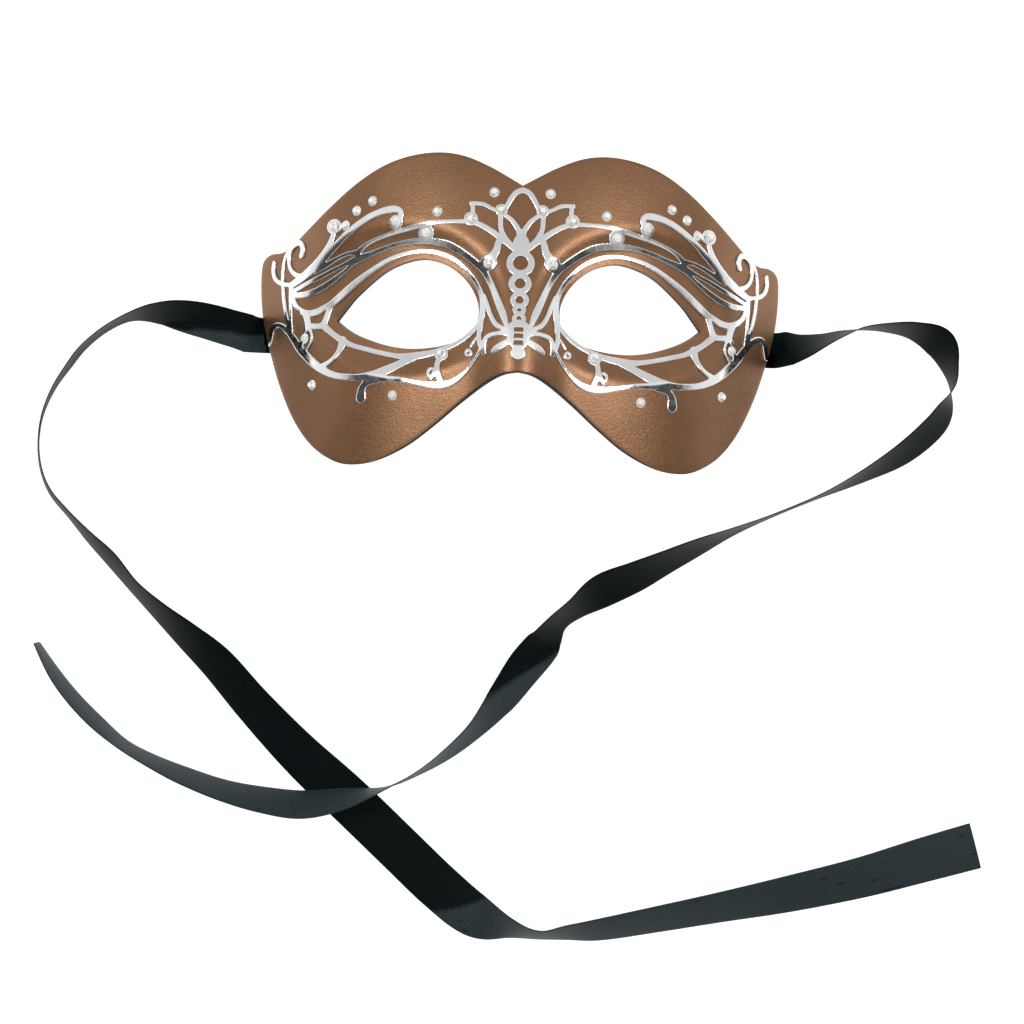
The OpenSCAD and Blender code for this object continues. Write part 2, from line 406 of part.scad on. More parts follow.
module ribbon_patch(side) {
    high = ribbon_lift - ribbon_t / 2 - 2 * GLUE;
    nx = PATCH_STEPS.x;
    ny = PATCH_STEPS.y;
    points = [for (lift = [high - patch_t, high]) for (j = [0:ny]) for (i = [0:nx])
        on_face(mirror_x(fit([PATCH_X[0] + (PATCH_X[1] - PATCH_X[0]) * i / nx,
            PATCH_Y[0] + (PATCH_Y[1] - PATCH_Y[0]) * j / ny]), side), lift)];
    at = function (face, j, i) (face * (ny + 1) + j) * (nx + 1) + i;
    flip = side < 0;
    faces = concat(
        [for (j = [0:ny - 1]) for (i = [0:nx - 1]) each concat(
            two(at(1, j, i), at(1, j + 1, i), at(1, j + 1, i + 1), at(1, j, i + 1), flip),
            two(at(0, j, i), at(0, j, i + 1), at(0, j + 1, i + 1), at(0, j + 1, i), flip))],
        [for (i = [0:nx - 1]) each concat(
            two(at(0, 0, i), at(1, 0, i), at(1, 0, i + 1), at(0, 0, i + 1), flip),
            two(at(0, ny, i), at(0, ny, i + 1), at(1, ny, i + 1), at(1, ny, i), flip))],
        [for (j = [0:ny - 1]) each concat(
            two(at(0, j, 0), at(0, j + 1, 0), at(1, j + 1, 0), at(1, j, 0), flip),
            two(at(0, j, nx), at(1, j, nx), at(1, j + 1, nx), at(0, j + 1, nx), flip))]);
    color("#222222") polyhedron(points, faces);
}

core_shell();
face_cover();
felt_lining();
filigree_plate();
crest_crystals();
brow_crystal(-1);  // brow_crystal_left
brow_crystal(1);  // brow_crystal_right
lid_crystals(-1);  // lid_crystals_left
lid_crystals(1);  // lid_crystals_right
temple_crystals(-1);  // temple_crystals_left
temple_crystals(1);  // temple_crystals_right
cheek_crystals(-1);  // cheek_crystals_left
cheek_crystals(1);  // cheek_crystals_right
ribbon_patch(-1);  // ribbon_patch_left
ribbon_patch(1);  // ribbon_patch_right
ribbon(ROUTE_LEFT, -1);  // ribbon_left
ribbon(ROUTE_RIGHT, 1);  // ribbon_right
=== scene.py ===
"""Looks for the venetian half mask: fine meshes for every layer, the filigree, the crystals and the
satin ribbons, built on the same face surface as the CAD model. Lengths are in millimetres up to
mesh_piece(), which turns them into metres."""
import math

import bmesh
import bpy
import numpy as np
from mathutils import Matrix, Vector


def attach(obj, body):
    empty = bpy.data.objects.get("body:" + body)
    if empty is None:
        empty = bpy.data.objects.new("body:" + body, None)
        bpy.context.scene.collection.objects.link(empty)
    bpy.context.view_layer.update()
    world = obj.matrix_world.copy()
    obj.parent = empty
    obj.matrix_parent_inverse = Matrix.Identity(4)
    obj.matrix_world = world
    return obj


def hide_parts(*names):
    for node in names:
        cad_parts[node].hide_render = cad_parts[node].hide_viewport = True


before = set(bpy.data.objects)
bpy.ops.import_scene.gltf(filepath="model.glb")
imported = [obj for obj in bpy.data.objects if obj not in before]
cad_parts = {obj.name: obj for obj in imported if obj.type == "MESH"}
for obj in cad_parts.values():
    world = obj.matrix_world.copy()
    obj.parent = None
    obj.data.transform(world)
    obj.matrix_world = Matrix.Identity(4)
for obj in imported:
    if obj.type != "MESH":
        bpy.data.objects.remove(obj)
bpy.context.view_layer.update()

MM = 0.001

# ---------------------------------------------------------------- camera
CAMERA_HEIGHT = 0.9
CAMERA_OVER = (-0.0004, -0.0650)
CAMERA_ROLL = math.radians(1.7)
FIELD = 0.3482                      # width of the table that the picture takes in
SENSOR = 36

camera_data = bpy.data.cameras.new("camera")
camera_data.sensor_width = SENSOR
camera_data.lens = SENSOR * CAMERA_HEIGHT / FIELD
camera = bpy.data.objects.new("camera", camera_data)
camera.location = (*CAMERA_OVER, CAMERA_HEIGHT)
camera.rotation_euler = (0, 0, CAMERA_ROLL)
bpy.context.scene.collection.objects.link(camera)
bpy.context.scene.camera = camera

# ---------------------------------------------------------------- sizes, as in the CAD model
MASK_W = 174.8
HALF_W = MASK_W / 2
FACE_R = 97
NOSE_H = 8
SOCKET_D = 3.5
CORE_T = 1.2
COVER_T = 0.7
LINING_T = 0.6
LINING_INSET = 1.2
METAL_T = 0.5
METAL_GAP = 0.05
CRYSTAL_D = 3.4
CRYSTAL_H = 1.5
RIBBON_W = 16
RIBBON_T = 0.4
GATHERED_W = 12
PATCH_T = 0.6
GLUE = 0.15
SKIM = 0.05

FLAP_START = 70
BROW_DROP = 500
NOSE_W = 11
NOSE_TOP = 30
NOSE_BOTTOM = -25
SOCKET_AT = (38, 3)
SOCKET_SIZE = (33, 25)
SOCKET_WALL = (0.4, 1.1)
FLAP_TWIST = 0.03
FLAP_TWIST_RANGE = (-8, 14)
FLAP_TWIST_FROM = (60, 87)
STEP = 0.05

LINING_LOW = -CORE_T - GLUE - LINING_T
METAL_LOW = COVER_T + METAL_GAP
METAL_HIGH = METAL_LOW + METAL_T

# ---------------------------------------------------------------- shapes shared with the CAD model
OUTLINE = [(0, 40.3), (5, 43.2), (11, 46.5), (19, 49.8), (27, 51), (36, 50.1), (45, 47.1), (54, 41.6),
           (63, 34.1), (71, 26.7), (76.5, 21.6), (80, 19.8), (84, 19.5), (86.8, 17), (87.4, 11), (87, 3),
           (85.8, -4.5), (83.2, -14), (79.4, -25.2), (74, -36.5), (67.5, -44.8), (60, -49.7), (53, -51),
           (45, -49.4), (35.5, -44.7), (26.7, -38), (17.8, -30.2), (10.5, -24.4), (5, -21.4), (0, -20.5)]
EYE = [(60, -3.6), (56.5, -6.4), (51, -9.3), (42, -12.1), (33, -12.9), (24, -11.8), (17.4, -9.2),
       (13.4, -4.8), (13, 1.5), (16.4, 8.3), (22.5, 13.6), (30, 16.1), (37, 15.2), (44.5, 11.8),
       (53, 4.7), (57, 0.2), (60, -3.6)]
# Stretches of the outline and of the eye hole that face each other, as (outline from, outline to,
# eye from, eye to, number of rays). CENTRE_EYE, the rest of the eye hole, faces the centre line.
STRETCHES = [(0, 13, 9, 15, 84), (13, 15, 15, 16, 20), (15, 17, 0, 1, 20), (17, 29, 1, 6, 84)]
CENTRE_EYE = (6, 9)
CENTRE_RAYS = 36
RINGS = 26
ARCH_STARTS = (0.42, 0.6)            # share of the way from the cheek to the bridge of the nose
RAW_EDGE = 0.6                      # how far the cover stops short of the core on that arch
FINE = 12

LOTUS = [
    [(0, 38.6, 1.8), (2, 37.8, 1.8), (3.6, 35.8, 1.7), (4.8, 33.6, 1.6), (5.8, 31.6, 1.6)],
    [(5.6, 30.6, 1.5), (3.2, 28.7, 1.6), (1.6, 26.6, 1.7), (0.6, 24.6, 2), (0, 21.6, 2.8)],
    [(6.8, 31.6, 1.7), (6.8, 28.8, 1.6), (6.5, 25.8, 1.6), (5.3, 23.1, 1.7), (3.3, 20.7, 1.8),
     (1, 19.2, 2.2)],
    [(7.6, 31.6, 1.5), (9.8, 32.5, 1.3), (12.6, 33.8, 1.4), (16.4, 34.1, 1.2)],
    [(16.1, 34, 1.3), (15.7, 32.4, 1.4), (15.8, 30.2, 1.5)]]
BROW = [
    [(1.8, 19.2, 2.2), (4, 21, 2.1), (6.6, 22.9, 2), (9.7, 25.1, 1.9), (13, 27, 1.8), (16.4, 28, 1.6),
     (22.2, 28.1, 1.3), (26.1, 28, 1.3), (30, 27.6, 1.5), (34, 26.9, 1.5), (38, 25.9, 1.5),
     (41.2, 25.1, 1.4), (44.7, 24, 1.3), (48.2, 22.6, 1.3), (51.2, 20.8, 1.6), (53.4, 18.4, 2.3)],
    [(6.7, 23.1, 1.7), (7.3, 20.9, 2.1), (7.8, 18.7, 2.4), (8.8, 17, 2.8), (9.9, 14.9, 4.2)]]
LIDS = [
    [(3.6, -5.4, 1.4), (4.8, -1.8, 2.1), (6.4, 2.4, 2.1), (8, 6.4, 1.9), (9.6, 9.7, 1.9),
     (11.3, 12.6, 2.2), (13.7, 15, 2.2), (16.6, 17.3, 2.2), (20, 19.6, 2.3), (23.6, 21.4, 2.3),
     (27.6, 22.2, 2.2), (31.8, 22.4, 2.1), (36.8, 22, 1.9), (40.8, 21, 1.8), (44.8, 19.7, 1.8),
     (48.4, 18.3, 2), (53.4, 16.6, 2.9)],
    [(11.4, -3.2, 1.7), (11.1, -0.2, 1.9), (11.3, 3.3, 1.9), (12.3, 6.1, 1.6), (13.7, 8.8, 1.5),
     (15.6, 11.3, 1.5), (18, 13.8, 1.6), (20.8, 15.9, 1.7), (24, 17.5, 1.8), (27.7, 18.6, 1.7),
     (31.9, 18.8, 1.6), (35.6, 18.4, 1.5), (39.6, 17.3, 1.5), (43.6, 15.5, 1.6), (47, 13.4, 1.7),
     (51, 10.6, 2), (54.8, 7.6, 2.3), (58.4, 4.5, 2.5), (61.9, 1.6, 2.4)],
    [(4, -6.9, 1.6), (6.6, -5.4, 1.5), (8.3, -2.6, 1.4), (9.6, 0.9, 1.5), (11, 4.3, 1.5)]]
OUTER_CORNER = [
    [(61.9, 1.6, 2.3), (62.6, -0.9, 1.9), (63.4, -3.3, 2), (64.4, -5.3, 2.3), (66.4, -5.6, 2),
     (68.8, -5.3, 2)],
    [(62, 1.8, 2), (64.2, 0.7, 2), (66.4, -0.6, 2.3), (68.9, -1.2, 2.4), (71.3, -0.6, 2.2),
     (73.4, 1.1, 1.8), (74.7, 3.5, 1.5), (75.4, 6.6, 1.5)],
    [(70.6, -1.3, 2), (69.7, -3.6, 2.3), (69.6, -5.6, 1.9), (70.6, -7.4, 1.3), (71, -9.6, 1.3),
     (71.5, -11.6, 1.5)],
    [(69, -5.8, 1.1), (68, -8, 0.9), (68.1, -10.2, 0.9), (69.2, -12.1, 1), (70.5, -13.4, 1.3)],
    [(64.2, -5.3, 2.4), (62.3, -6.9, 2.2), (60.2, -8.6, 2), (57.4, -10.4, 2.3), (54, -12.1, 1.9),
     (49.5, -13.3, 1.9), (44.7, -14.5, 1.9), (39.9, -15.5, 2), (36.6, -15.8, 2.4), (33.3, -15.6, 2.7),
     (30, -15.1, 2.4), (26.7, -14.3, 2), (23.5, -13.2, 1.7), (20.3, -11.8, 1.6), (17.4, -10.1, 1.6),
     (14.8, -7.9, 1.6), (12.4, -5.3, 1.6), (11.4, -3, 1.7)]]
CHEEK = [
    [(57.3, -10.3, 2.8), (57.7, -12.3, 2.3), (58.6, -14.3, 1.7), (60.1, -16.2, 1.4), (61.9, -17.6, 1.5),
     (64, -18.9, 2)],
    [(83.2, -10.8, 1.3), (82.8, -8.4, 1.5), (82.4, -6.2, 1.7), (81.1, -4.6, 1.8), (79.2, -4.7, 1.8),
     (77.2, -6.2, 2), (75.5, -7.9, 2.3), (73.7, -10.2, 2.6), (71.8, -12.8, 2.8), (69.4, -15.3, 2.8),
     (66.8, -17.7, 2.8), (64.1, -19.6, 2.5), (60.9, -21.2, 2.2), (57.2, -22.1, 2), (51.4, -22.4, 2.2),
     (46.4, -21.9, 2.8), (42.3, -20.4, 2.8), (39.1, -18.9, 2.6), (36.3, -17.5, 2.4), (33.3, -16, 2.5)],
    [(46.4, -22.7, 2.4), (41.6, -22.9, 1.7), (37.2, -23.2, 1.5), (33.8, -23.7, 1.6), (30.7, -24.2, 1.8),
     (27.8, -24.6, 2.2), (24.5, -24.6, 2.4), (21.3, -23.8, 2.1), (18.7, -22.3, 1.7), (16.2, -20, 1.3),
     (14, -17.1, 1), (12.2, -14.4, 0.9), (11.2, -12.6, 1.1)],
    [(45, -23, 2.6), (47.6, -23.6, 2.4), (49.4, -24.8, 2.3), (50.2, -26.5, 2.6), (50.4, -28.4, 3.1),
     (50.4, -29.2, 3.2)],
    [(24.8, -15.6, 1.8), (25.5, -18, 1.7), (25.6, -20.2, 1.8), (24.6, -23.2, 2.2)],
    [(27.6, -22.6, 1.2), (26.4, -20.6, 1.2)],
    [(12.6, -9.6, 1), (13.8, -10.9, 0.8), (14.7, -12.4, 0.8)]]
NOSE_END = [
    [(2.8, -8, 2.2), (5.5, -8.1, 1.6), (8, -8.6, 1.5), (9.8, -9.8, 1.4), (10.5, -11.9, 1.4),
     (10.4, -14.2, 1.5)],
    [(11.4, -3.2, 1.7), (11.6, -5.7, 1.5), (12, -8.2, 1.5), (11.9, -10.5, 1.6), (11.3, -12.7, 1.5),
     (10.6, -14.3, 1.2)],
    [(2.2, -10.4, 2), (4.4, -11.6, 2.1), (6.2, -12.8, 2.1), (7.4, -13.8, 1.5)]]
TEMPLE = [
    [(39, 29.6, 1.5), (39, 31.3, 1.9), (40.5, 32.2, 2.3), (42.8, 32.1, 2.5), (46, 31.4, 2.2),
     (49.8, 29.7, 2.1), (53.3, 27.4, 2), (56.6, 24.9, 1.9), (59.2, 22.4, 1.9), (61.8, 19.9, 2.1),
     (64.1, 17.6, 2.3), (66.6, 15.3, 2.7), (69.4, 12.9, 2.8), (72, 10.9, 2.7), (75.7, 8.6, 2.3)],
    [(61.2, 25, 1.5), (62.1, 22.3, 1.8), (63.5, 19.8, 2), (65.3, 17.4, 2.1), (67.3, 15.2, 2.2)],
    [(72.5, 18.2, 1.5), (72, 20.5, 1.6), (72.7, 22.4, 1.7), (74.4, 22.5, 1.9), (76, 21, 1.5),
     (76.8, 18.9, 1.2), (76.9, 16.5, 1.2), (76.2, 14.1, 1.3), (74.4, 12.2, 1.5), (72, 11.3, 1.9)],
    [(76, 21.2, 1.2), (77.7, 19.3, 1.1), (78.6, 17, 1), (79, 14.2, 1), (79.1, 11.2, 1), (78.8, 8.2, 1.1),
     (78.5, 5, 1.2), (77.9, 1.4, 1.2), (77.1, -2.1, 1.2), (76.2, -5.6, 1.5)],
    [(82.4, 16.8, 1.1), (82.6, 14.2, 1.3), (82, 11.7, 1.4), (80.5, 10, 1.4), (78.1, 9.1, 1.4),
     (75.8, 8.8, 1.5)],
    [(53, 19, 1.8), (56.5, 18.6, 1.4), (59.5, 17.4, 1.4), (62.2, 16, 1.6), (64.6, 14.6, 1.8),
     (67.4, 13.2, 1.9)],
    [(53.8, 16.8, 2), (58.3, 14.7, 1.4), (62.1, 13, 1.5), (66, 11, 1.5), (69.8, 9.1, 1.5),
     (73.4, 7.3, 1.5), (75.6, 6.4, 1.5)],
    [(53.8, 16, 2.2), (56.2, 13.7, 1.5), (58.6, 11.8, 1.7), (61.4, 9.8, 2), (64.4, 7.9, 2.1),
     (67.6, 6.3, 2.1), (70.8, 5.4, 2), (74.4, 5.2, 1.8)],
    [(75.7, 8.7, 1.6), (75.9, 4.9, 1.3), (75.8, 1.1, 1.1), (75.6, -2.8, 1.1), (75.4, -6.6, 1.5)]]
NOSE_COLUMN = [
    [(0, 21.6, 5), (0, 20, 5)],
    [(0, -6.4, 4.6), (0, -7, 6.6), (0, -8, 7.2), (0, -10, 6), (0, -11.8, 3.6)]]
STROKES = LOTUS + BROW + LIDS + OUTER_CORNER + CHEEK + NOSE_END + TEMPLE + NOSE_COLUMN
# Rings, each (x, y, outer radius, inner radius); an inner radius of 0 is a disc
DISCS = [(0, 14.7, 4.4, 2.3), (0, 8, 3.5, 1.6), (0, 2.6, 2.8, 1.2), (0, -0.5, 2, 0.6), (0, -3.4, 2, 0.7),
         (0, -14.3, 2.1, 0), (9.9, 14.9, 2.6, 0), (30.5, 24.9, 2.6, 0), (61.1, 27.3, 2.5, 1.4),
         (27.4, -20.9, 1.6, 0.7), (15.4, -14.4, 1.3, 0.4), (6.6, 32, 2, 0), (16.2, 29, 2.3, 0),
         (24.4, -14.9, 2.3, 0), (40.4, 28.2, 2.2, 0)]

# Crystals on the right half, by CAD node: those on the metal and those on the cover
CRYSTALS = {"crest": ([(6.6, 32), (16.2, 29)], [(9, 37.8)]),
            "brow": ([], [(27.2, 31.4)]),
            "lid": ([(9.9, 14.9), (30.5, 24.9)], []),
            "temple": ([(40.4, 28.2), (61.1, 27.3)], [(48.6, 35.2), (53.8, 32.2), (57.4, 27.5)]),
            "cheek": ([(24.4, -14.9), (69.9, -9.3)], [(67.4, -24.8), (40.1, -28.2)])}

# Ribbon routes: x, y, roll in degrees (0 lies flat, 90 stands on edge) and lift off the table
ROUTE_LEFT = [(-91.5, -7.2, 34, 0), (-97, -5.7, 45, 0), (-108.6, -3, 49, 0), (-121, -1.7, 66, 0),
              (-131, -3.2, 85, 0), (-139.3, -7.6, 90, 0), (-146.3, -13.7, 91, 0), (-151, -20, 92, 0),
              (-156, -28, 95, 0), (-159.4, -37, 98, 0), (-160.4, -46, 100, 0), (-159.4, -55, 101, 0),
              (-156, -63, 102, 0), (-149.4, -70.5, 103, 0), (-142.7, -77.6, 108, 0), (-135, -85, 113, 0),
              (-127, -94, 111, 0), (-118.2, -102.1, 118, 0), (-108.4, -110.4, 131, 0),
              (-98.3, -119.3, 143, 0), (-85.9, -133, 149, 0), (-70.5, -148.6, 160, 0),
              (-52.6, -164.7, 177, 0), (-35.3, -180.5, 178, 0), (-21.5, -193, 177, 0),
              (-9.3, -202, 165, 0), (3.3, -205.6, 122, 0), (13, -207.3, 109, 0), (22.9, -206.2, 117, 0),
              (34, -204.9, 126, 0), (54.2, -200.7, 132, 0), (75, -196.2, 138, 0), (97, -191.4, 148, 0),
              (121.4, -185.3, 157, 0), (143.2, -178.7, 168, 0), (160.3, -173.6, 176, 0)]
ROUTE_RIGHT = [(91.5, -6.9, 42, 0), (96.3, -6, 57, 0), (103.4, -3.6, 73, 0), (109.5, -1.3, 81, 0),
               (115.8, 0.4, 90, 0), (124, 0.9, 97, 0), (133.3, 0.1, 107, 0), (142, -3.8, 122, 0),
               (145.7, -12.1, 102, 0), (146.7, -19, 86, 0), (144.7, -26.4, 62, 0), (140.6, -32.8, 56, 0),
               (130.9, -41.4, 60, 0), (117.7, -49.3, 73, 0), (102.9, -56.8, 84, 0), (88, -63.5, 85, 0),
               (74.7, -69.3, 79, 0), (62.6, -75.1, 67, 0), (51.8, -80.6, 58, 0), (41.9, -85.7, 48, 0),
               (30.9, -90.8, 43, 0), (22, -97, 61, 0), (15.9, -102.2, 63, 0), (11.4, -109.7, 44, 0),
               (5.3, -117.6, 34, 0), (-1.9, -128.1, 49, 0), (-9.8, -138.1, 65, 0),
               (-19.2, -146.8, 73, 0), (-29.1, -153.8, 81, 0), (-40.1, -159.3, 88, 1),
               (-55, -163.3, 112, 2), (-68, -165.6, 120, 1.2), (-80.8, -164.6, 117, 0),
               (-94.8, -161.7, 110, 0), (-108.9, -156.9, 105, 0), (-120, -152.1, 99, 0),
               (-129.4, -147, 96, 0), (-138.3, -139.9, 99, 0), (-146.2, -132.2, 98, 0),
               (-152.9, -123.9, 95, 0), (-159.2, -113.8, 87, 0)]
# Lengthwise creases: route point, share of the width below the crease, roll below and above it, and how
# much less the roll is in the valley behind the crease
CREASE_LEFT = [(0, 0.5, 52, 16, 70), (1, 0.48, 56, 24, 80), (2, 0.25, 60, 44, 80), (3, 0, 66, 66, 0)]
CREASE_RIGHT = [(22.7, 0, 50, 50, 0), (23, 0.06, 50, 42, 60), (24, 0.42, 50, 27, 95),
                (25, 0.88, 52, 26, 80), (25.4, 1, 56, 44, 0)]
# By route point, the share of the width from its low edge that takes the lighter back tone: the ribbon's
# matt back where it lies up, and painted light on the lit part below each crease
BACK_AND_LIT_SIDE_LEFT = [(0, 0.5), (1, 0.48), (2, 0.25), (3, -0.3), (24, -0.3), (25.3, 1.3)]
BACK_AND_LIT_SIDE_RIGHT = [(22.7, -0.1), (23, 0.06), (24, 0.42), (25, 0.88), (25.4, 1.1)]
GLUED = [(74.5, -7.5), (77, -7.5), (79.5, -7.5)]
UNDER_EDGE = [(83.4, -7.5), (87.8, -7.5)]
PATCH_MIDDLE = (74, -7.5)
PATCH_SIZE = (10, 16)


# ---------------------------------------------------------------- face surface
def smooth(a, b, v):
    t = np.clip((v - a) / (b - a), 0, 1)
    return t * t * (3 - 2 * t)


def raw_z(x, y):
    ax = np.abs(x)
    rim = math.sqrt(FACE_R ** 2 - FLAP_START ** 2)
    face = np.where(ax < FLAP_START, np.sqrt(np.maximum(FACE_R ** 2 - ax ** 2, 1)),
                    rim - (ax - FLAP_START) * FLAP_START / rim)
    nose = NOSE_H * np.exp(-(ax / NOSE_W) ** 2) * smooth(NOSE_TOP, NOSE_BOTTOM, y)
    from_eye = ((ax - SOCKET_AT[0]) / SOCKET_SIZE[0]) ** 2 + ((y - SOCKET_AT[1]) / SOCKET_SIZE[1]) ** 2
    socket = SOCKET_D * (1 - smooth(*SOCKET_WALL, from_eye))
    twist = FLAP_TWIST * smooth(*FLAP_TWIST_FROM, ax) * np.clip(y, *FLAP_TWIST_RANGE)
    return face + nose - socket + twist - (1 - (ax / HALF_W) ** 2) * y * y / BROW_DROP


def normal(x, y):
    n = np.stack([(raw_z(x - STEP, y) - raw_z(x + STEP, y)) / (2 * STEP),
                  (raw_z(x, y - STEP) - raw_z(x, y + STEP)) / (2 * STEP), np.ones_like(x)], -1)
    return n / np.linalg.norm(n, axis=-1, keepdims=True)


def raw_point(xy, lift):
    xy = np.asarray(xy, float)
    x, y = xy[..., 0], xy[..., 1]
    lift = np.broadcast_to(lift, x.shape)
    return np.stack([x, y, raw_z(x, y)], -1) + normal(x, y) * lift[..., None]


def curve(points, steps):
    """A smooth curve through the points, with that many steps between each two."""
    p = np.asarray(points, float)
    q = np.vstack([p[:1], p, p[-1:]])
    t = (np.arange(steps) / steps)[:, None]
    parts = [0.5 * (2 * b + (c - a) * t
                    + (2 * a - 5 * b + 4 * c - d) * t ** 2
                    + (3 * b - a - 3 * c + d) * t ** 3)
             for a, b, c, d in zip(q[:-3], q[1:-2], q[2:-1], q[3:])]
    return np.vstack(parts + [p[-1:]])


def spread(points, count):
    """That many points spaced evenly along a line, without its last point."""
    run = np.concatenate([[0], np.cumsum(np.linalg.norm(np.diff(points, axis=0), axis=1))])
    at = run[-1] * np.arange(count) / count
    return np.stack([np.interp(at, run, points[:, k]) for k in range(points.shape[1])], -1)


outline_curve = curve(OUTLINE, FINE)
eye_curve = curve(EYE, FINE)
rest_level = raw_point(outline_curve, -CORE_T)[:, 2].min()


def on_face(xy, lift):
    return raw_point(xy, lift) - np.array([0, 0, rest_level])


# ---------------------------------------------------------------- making pieces
def mesh_piece(name, points, faces, body="root", smooth_shading=True, face_slots=None):
    """A mesh object from points in millimetres, welded, with its faces turned outwards."""
    mesh = bpy.data.meshes.new(name)
    mesh.from_pydata([tuple(p) for p in np.asarray(points) * MM], [], [tuple(f) for f in faces])
    if face_slots is not None:
        mesh.polygons.foreach_set("material_index", np.asarray(face_slots, np.int32))
    work = bmesh.new()
    work.from_mesh(mesh)
    bmesh.ops.delete(work, geom=[v for v in work.verts if not v.link_faces], context="VERTS")
    bmesh.ops.remove_doubles(work, verts=work.verts, dist=1e-6)
    bmesh.ops.recalc_face_normals(work, faces=work.faces)
    work.to_mesh(mesh)
    work.free()
    mesh.polygons.foreach_set("use_smooth", [smooth_shading] * len(mesh.polygons))
    piece = bpy.data.objects.new(name, mesh)
    bpy.context.scene.collection.objects.link(piece)
    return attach(piece, body)


def grid_faces(rows, columns):
    """Faces of a grid of points numbered row by row."""
    corners = [r * columns + c for r in range(rows - 1) for c in range(columns - 1)]
    return [(k, k + 1, k + columns + 1, k + columns) for k in corners]


# ---------------------------------------------------------------- ribbons
SEGMENTS = 32                       # across the width of a ribbon
ROUTE_STEPS = 10
CREASE_SOFT = 0.05
VALLEY_W = 0.05
CUP = 5                             # degrees that the ribbon's edges curl up
BACK_AND_LIT_SIDE_SOFT = 0.06
LEAD_STEPS = 6                      # between the stations that are hidden behind the flap
EDGE_THIN = 0.75                    # how much the strip thins towards its rounded edges
EDGE_POWER = 12
LOWEST = 0.01                       # height above the table


def across_rolls(roll, crease):
    """Roll of each segment across the ribbon, from its low edge, with the cup and any crease."""
    u = (np.arange(SEGMENTS) + 0.5) / SEGMENTS
    if crease is None:
        return roll + CUP * (2 * u - 1)
    share, below, above, valley = crease
    turn = smooth(share - CREASE_SOFT, share + CREASE_SOFT, u)
    dip = valley * np.exp(-((u - share - VALLEY_W) / VALLEY_W) ** 2)
    return below + (above - below) * turn - dip + CUP * (2 * u - 1)


def crease_at(creases, k):
    if not creases or k < creases[0][0] or k > creases[-1][0]:
        return None
    places = [c[0] for c in creases]
    return [np.interp(k, places, [c[i] for c in creases]) for i in range(1, 5)]


def sections(route, creases, side):
    """Points across the ribbon at every station, from its glued end to its cut end."""
    glued_u = np.linspace(-GATHERED_W / 2, GATHERED_W / 2, SEGMENTS + 1)[:, None]
    made = []
    for x, y in GLUED:
        spot = np.array([[x * side, y]])
        n = normal(spot[:, 0], spot[:, 1])[0]
        across = np.array([0, -side * n[2], side * n[1]])
        middle = on_face(spot, LINING_LOW - 2 * GLUE - RIBBON_T / 2)[0]
        made.append(middle + glued_u * across / np.linalg.norm(across))
    for x, y in UNDER_EDGE:
        made.append(np.array([x * side, y, SKIM + RIBBON_T / 2]) + glued_u * np.array([0, -side, 0]))
    fine = curve(route, ROUTE_STEPS)
    ahead = np.gradient(fine[:, :2], axis=0)
    ahead /= np.linalg.norm(ahead, axis=1, keepdims=True)
    width = RIBBON_W / SEGMENTS
    on_route = []
    for i, (x, y, roll, lift) in enumerate(fine):
        rolls = np.radians(across_rolls(roll, crease_at(creases, i / ROUTE_STEPS)))
        level = np.concatenate([[0], np.cumsum(np.cos(rolls))]) * width
        rise = np.concatenate([[0], np.cumsum(np.sin(rolls))]) * width
        level -= (level[0] + level[-1]) / 2
        rise += SKIM + RIBBON_T / 2 + max(lift, 0) - rise.min()
        on_route.append(np.stack([x + ahead[i, 1] * level, y - ahead[i, 0] * level, rise], -1))
    lead = curve([m.ravel() for m in made + on_route[:1]], LEAD_STEPS)[:-1]
    return np.concatenate([lead.reshape(len(lead), SEGMENTS + 1, 3), np.array(on_route)])


def back_and_lit_side_amount(back_and_lit_side, stations, u):
    """How far each point takes the lighter back tone: 0 is the dark satin face and 1 is the matt back, also
    used as painted light on the lit part below a crease.
    """
    share = np.interp(stations, [place for place, _ in back_and_lit_side], [share for _, share in back_and_lit_side])[:, None]
    return smooth(-BACK_AND_LIT_SIDE_SOFT, BACK_AND_LIT_SIDE_SOFT, share - u[None, :])


def ribbon(name, node, route, creases, back_and_lit_side, side):
    sheet = sections(route, creases, side)
    middle = sheet.mean(axis=1)
    run = np.concatenate([[0], np.cumsum(np.linalg.norm(np.diff(middle, axis=0), axis=1))])
    out = np.cross(np.gradient(sheet, axis=0), np.gradient(sheet, axis=1))
    out /= np.linalg.norm(out, axis=2, keepdims=True)
    u = np.linspace(-1, 1, SEGMENTS + 1)
    thick = RIBBON_T / 2 * np.sqrt(1 - EDGE_THIN * np.abs(u) ** EDGE_POWER)[None, :, None]
    loop = np.concatenate([sheet + out * thick, (sheet - out * thick)[:, ::-1]], axis=1)
    place = np.concatenate([u, u[::-1]]) * RIBBON_W / 2
    stations, around = loop.shape[:2]
    route_points = len(route) - 1 - (stations - 1 - np.arange(stations)) / ROUTE_STEPS
    back_and_lit_tone = back_and_lit_side_amount(back_and_lit_side, route_points, (np.concatenate([u, u[::-1]]) + 1) / 2)
    flat = loop.reshape(-1, 3)
    flat[:, 2] = np.maximum(flat[:, 2], LOWEST)
    faces = []
    for start in range(0, (stations - 1) * around, around):
        sides = [(start + k, start + (k + 1) % around) for k in range(around)]
        faces += [(a, b, b + around, a + around) for a, b in sides]
    for start in (0, (stations - 1) * around):
        faces += [(start + k, start + k + 1, start + around - 2 - k, start + around - 1 - k)
                  for k in range(SEGMENTS)]
    piece = mesh_piece(name, flat, faces)
    add_ribbon_coordinates(piece, flat, np.tile(place, stations), np.repeat(run, around), back_and_lit_tone.ravel())
    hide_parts(node)
    return piece


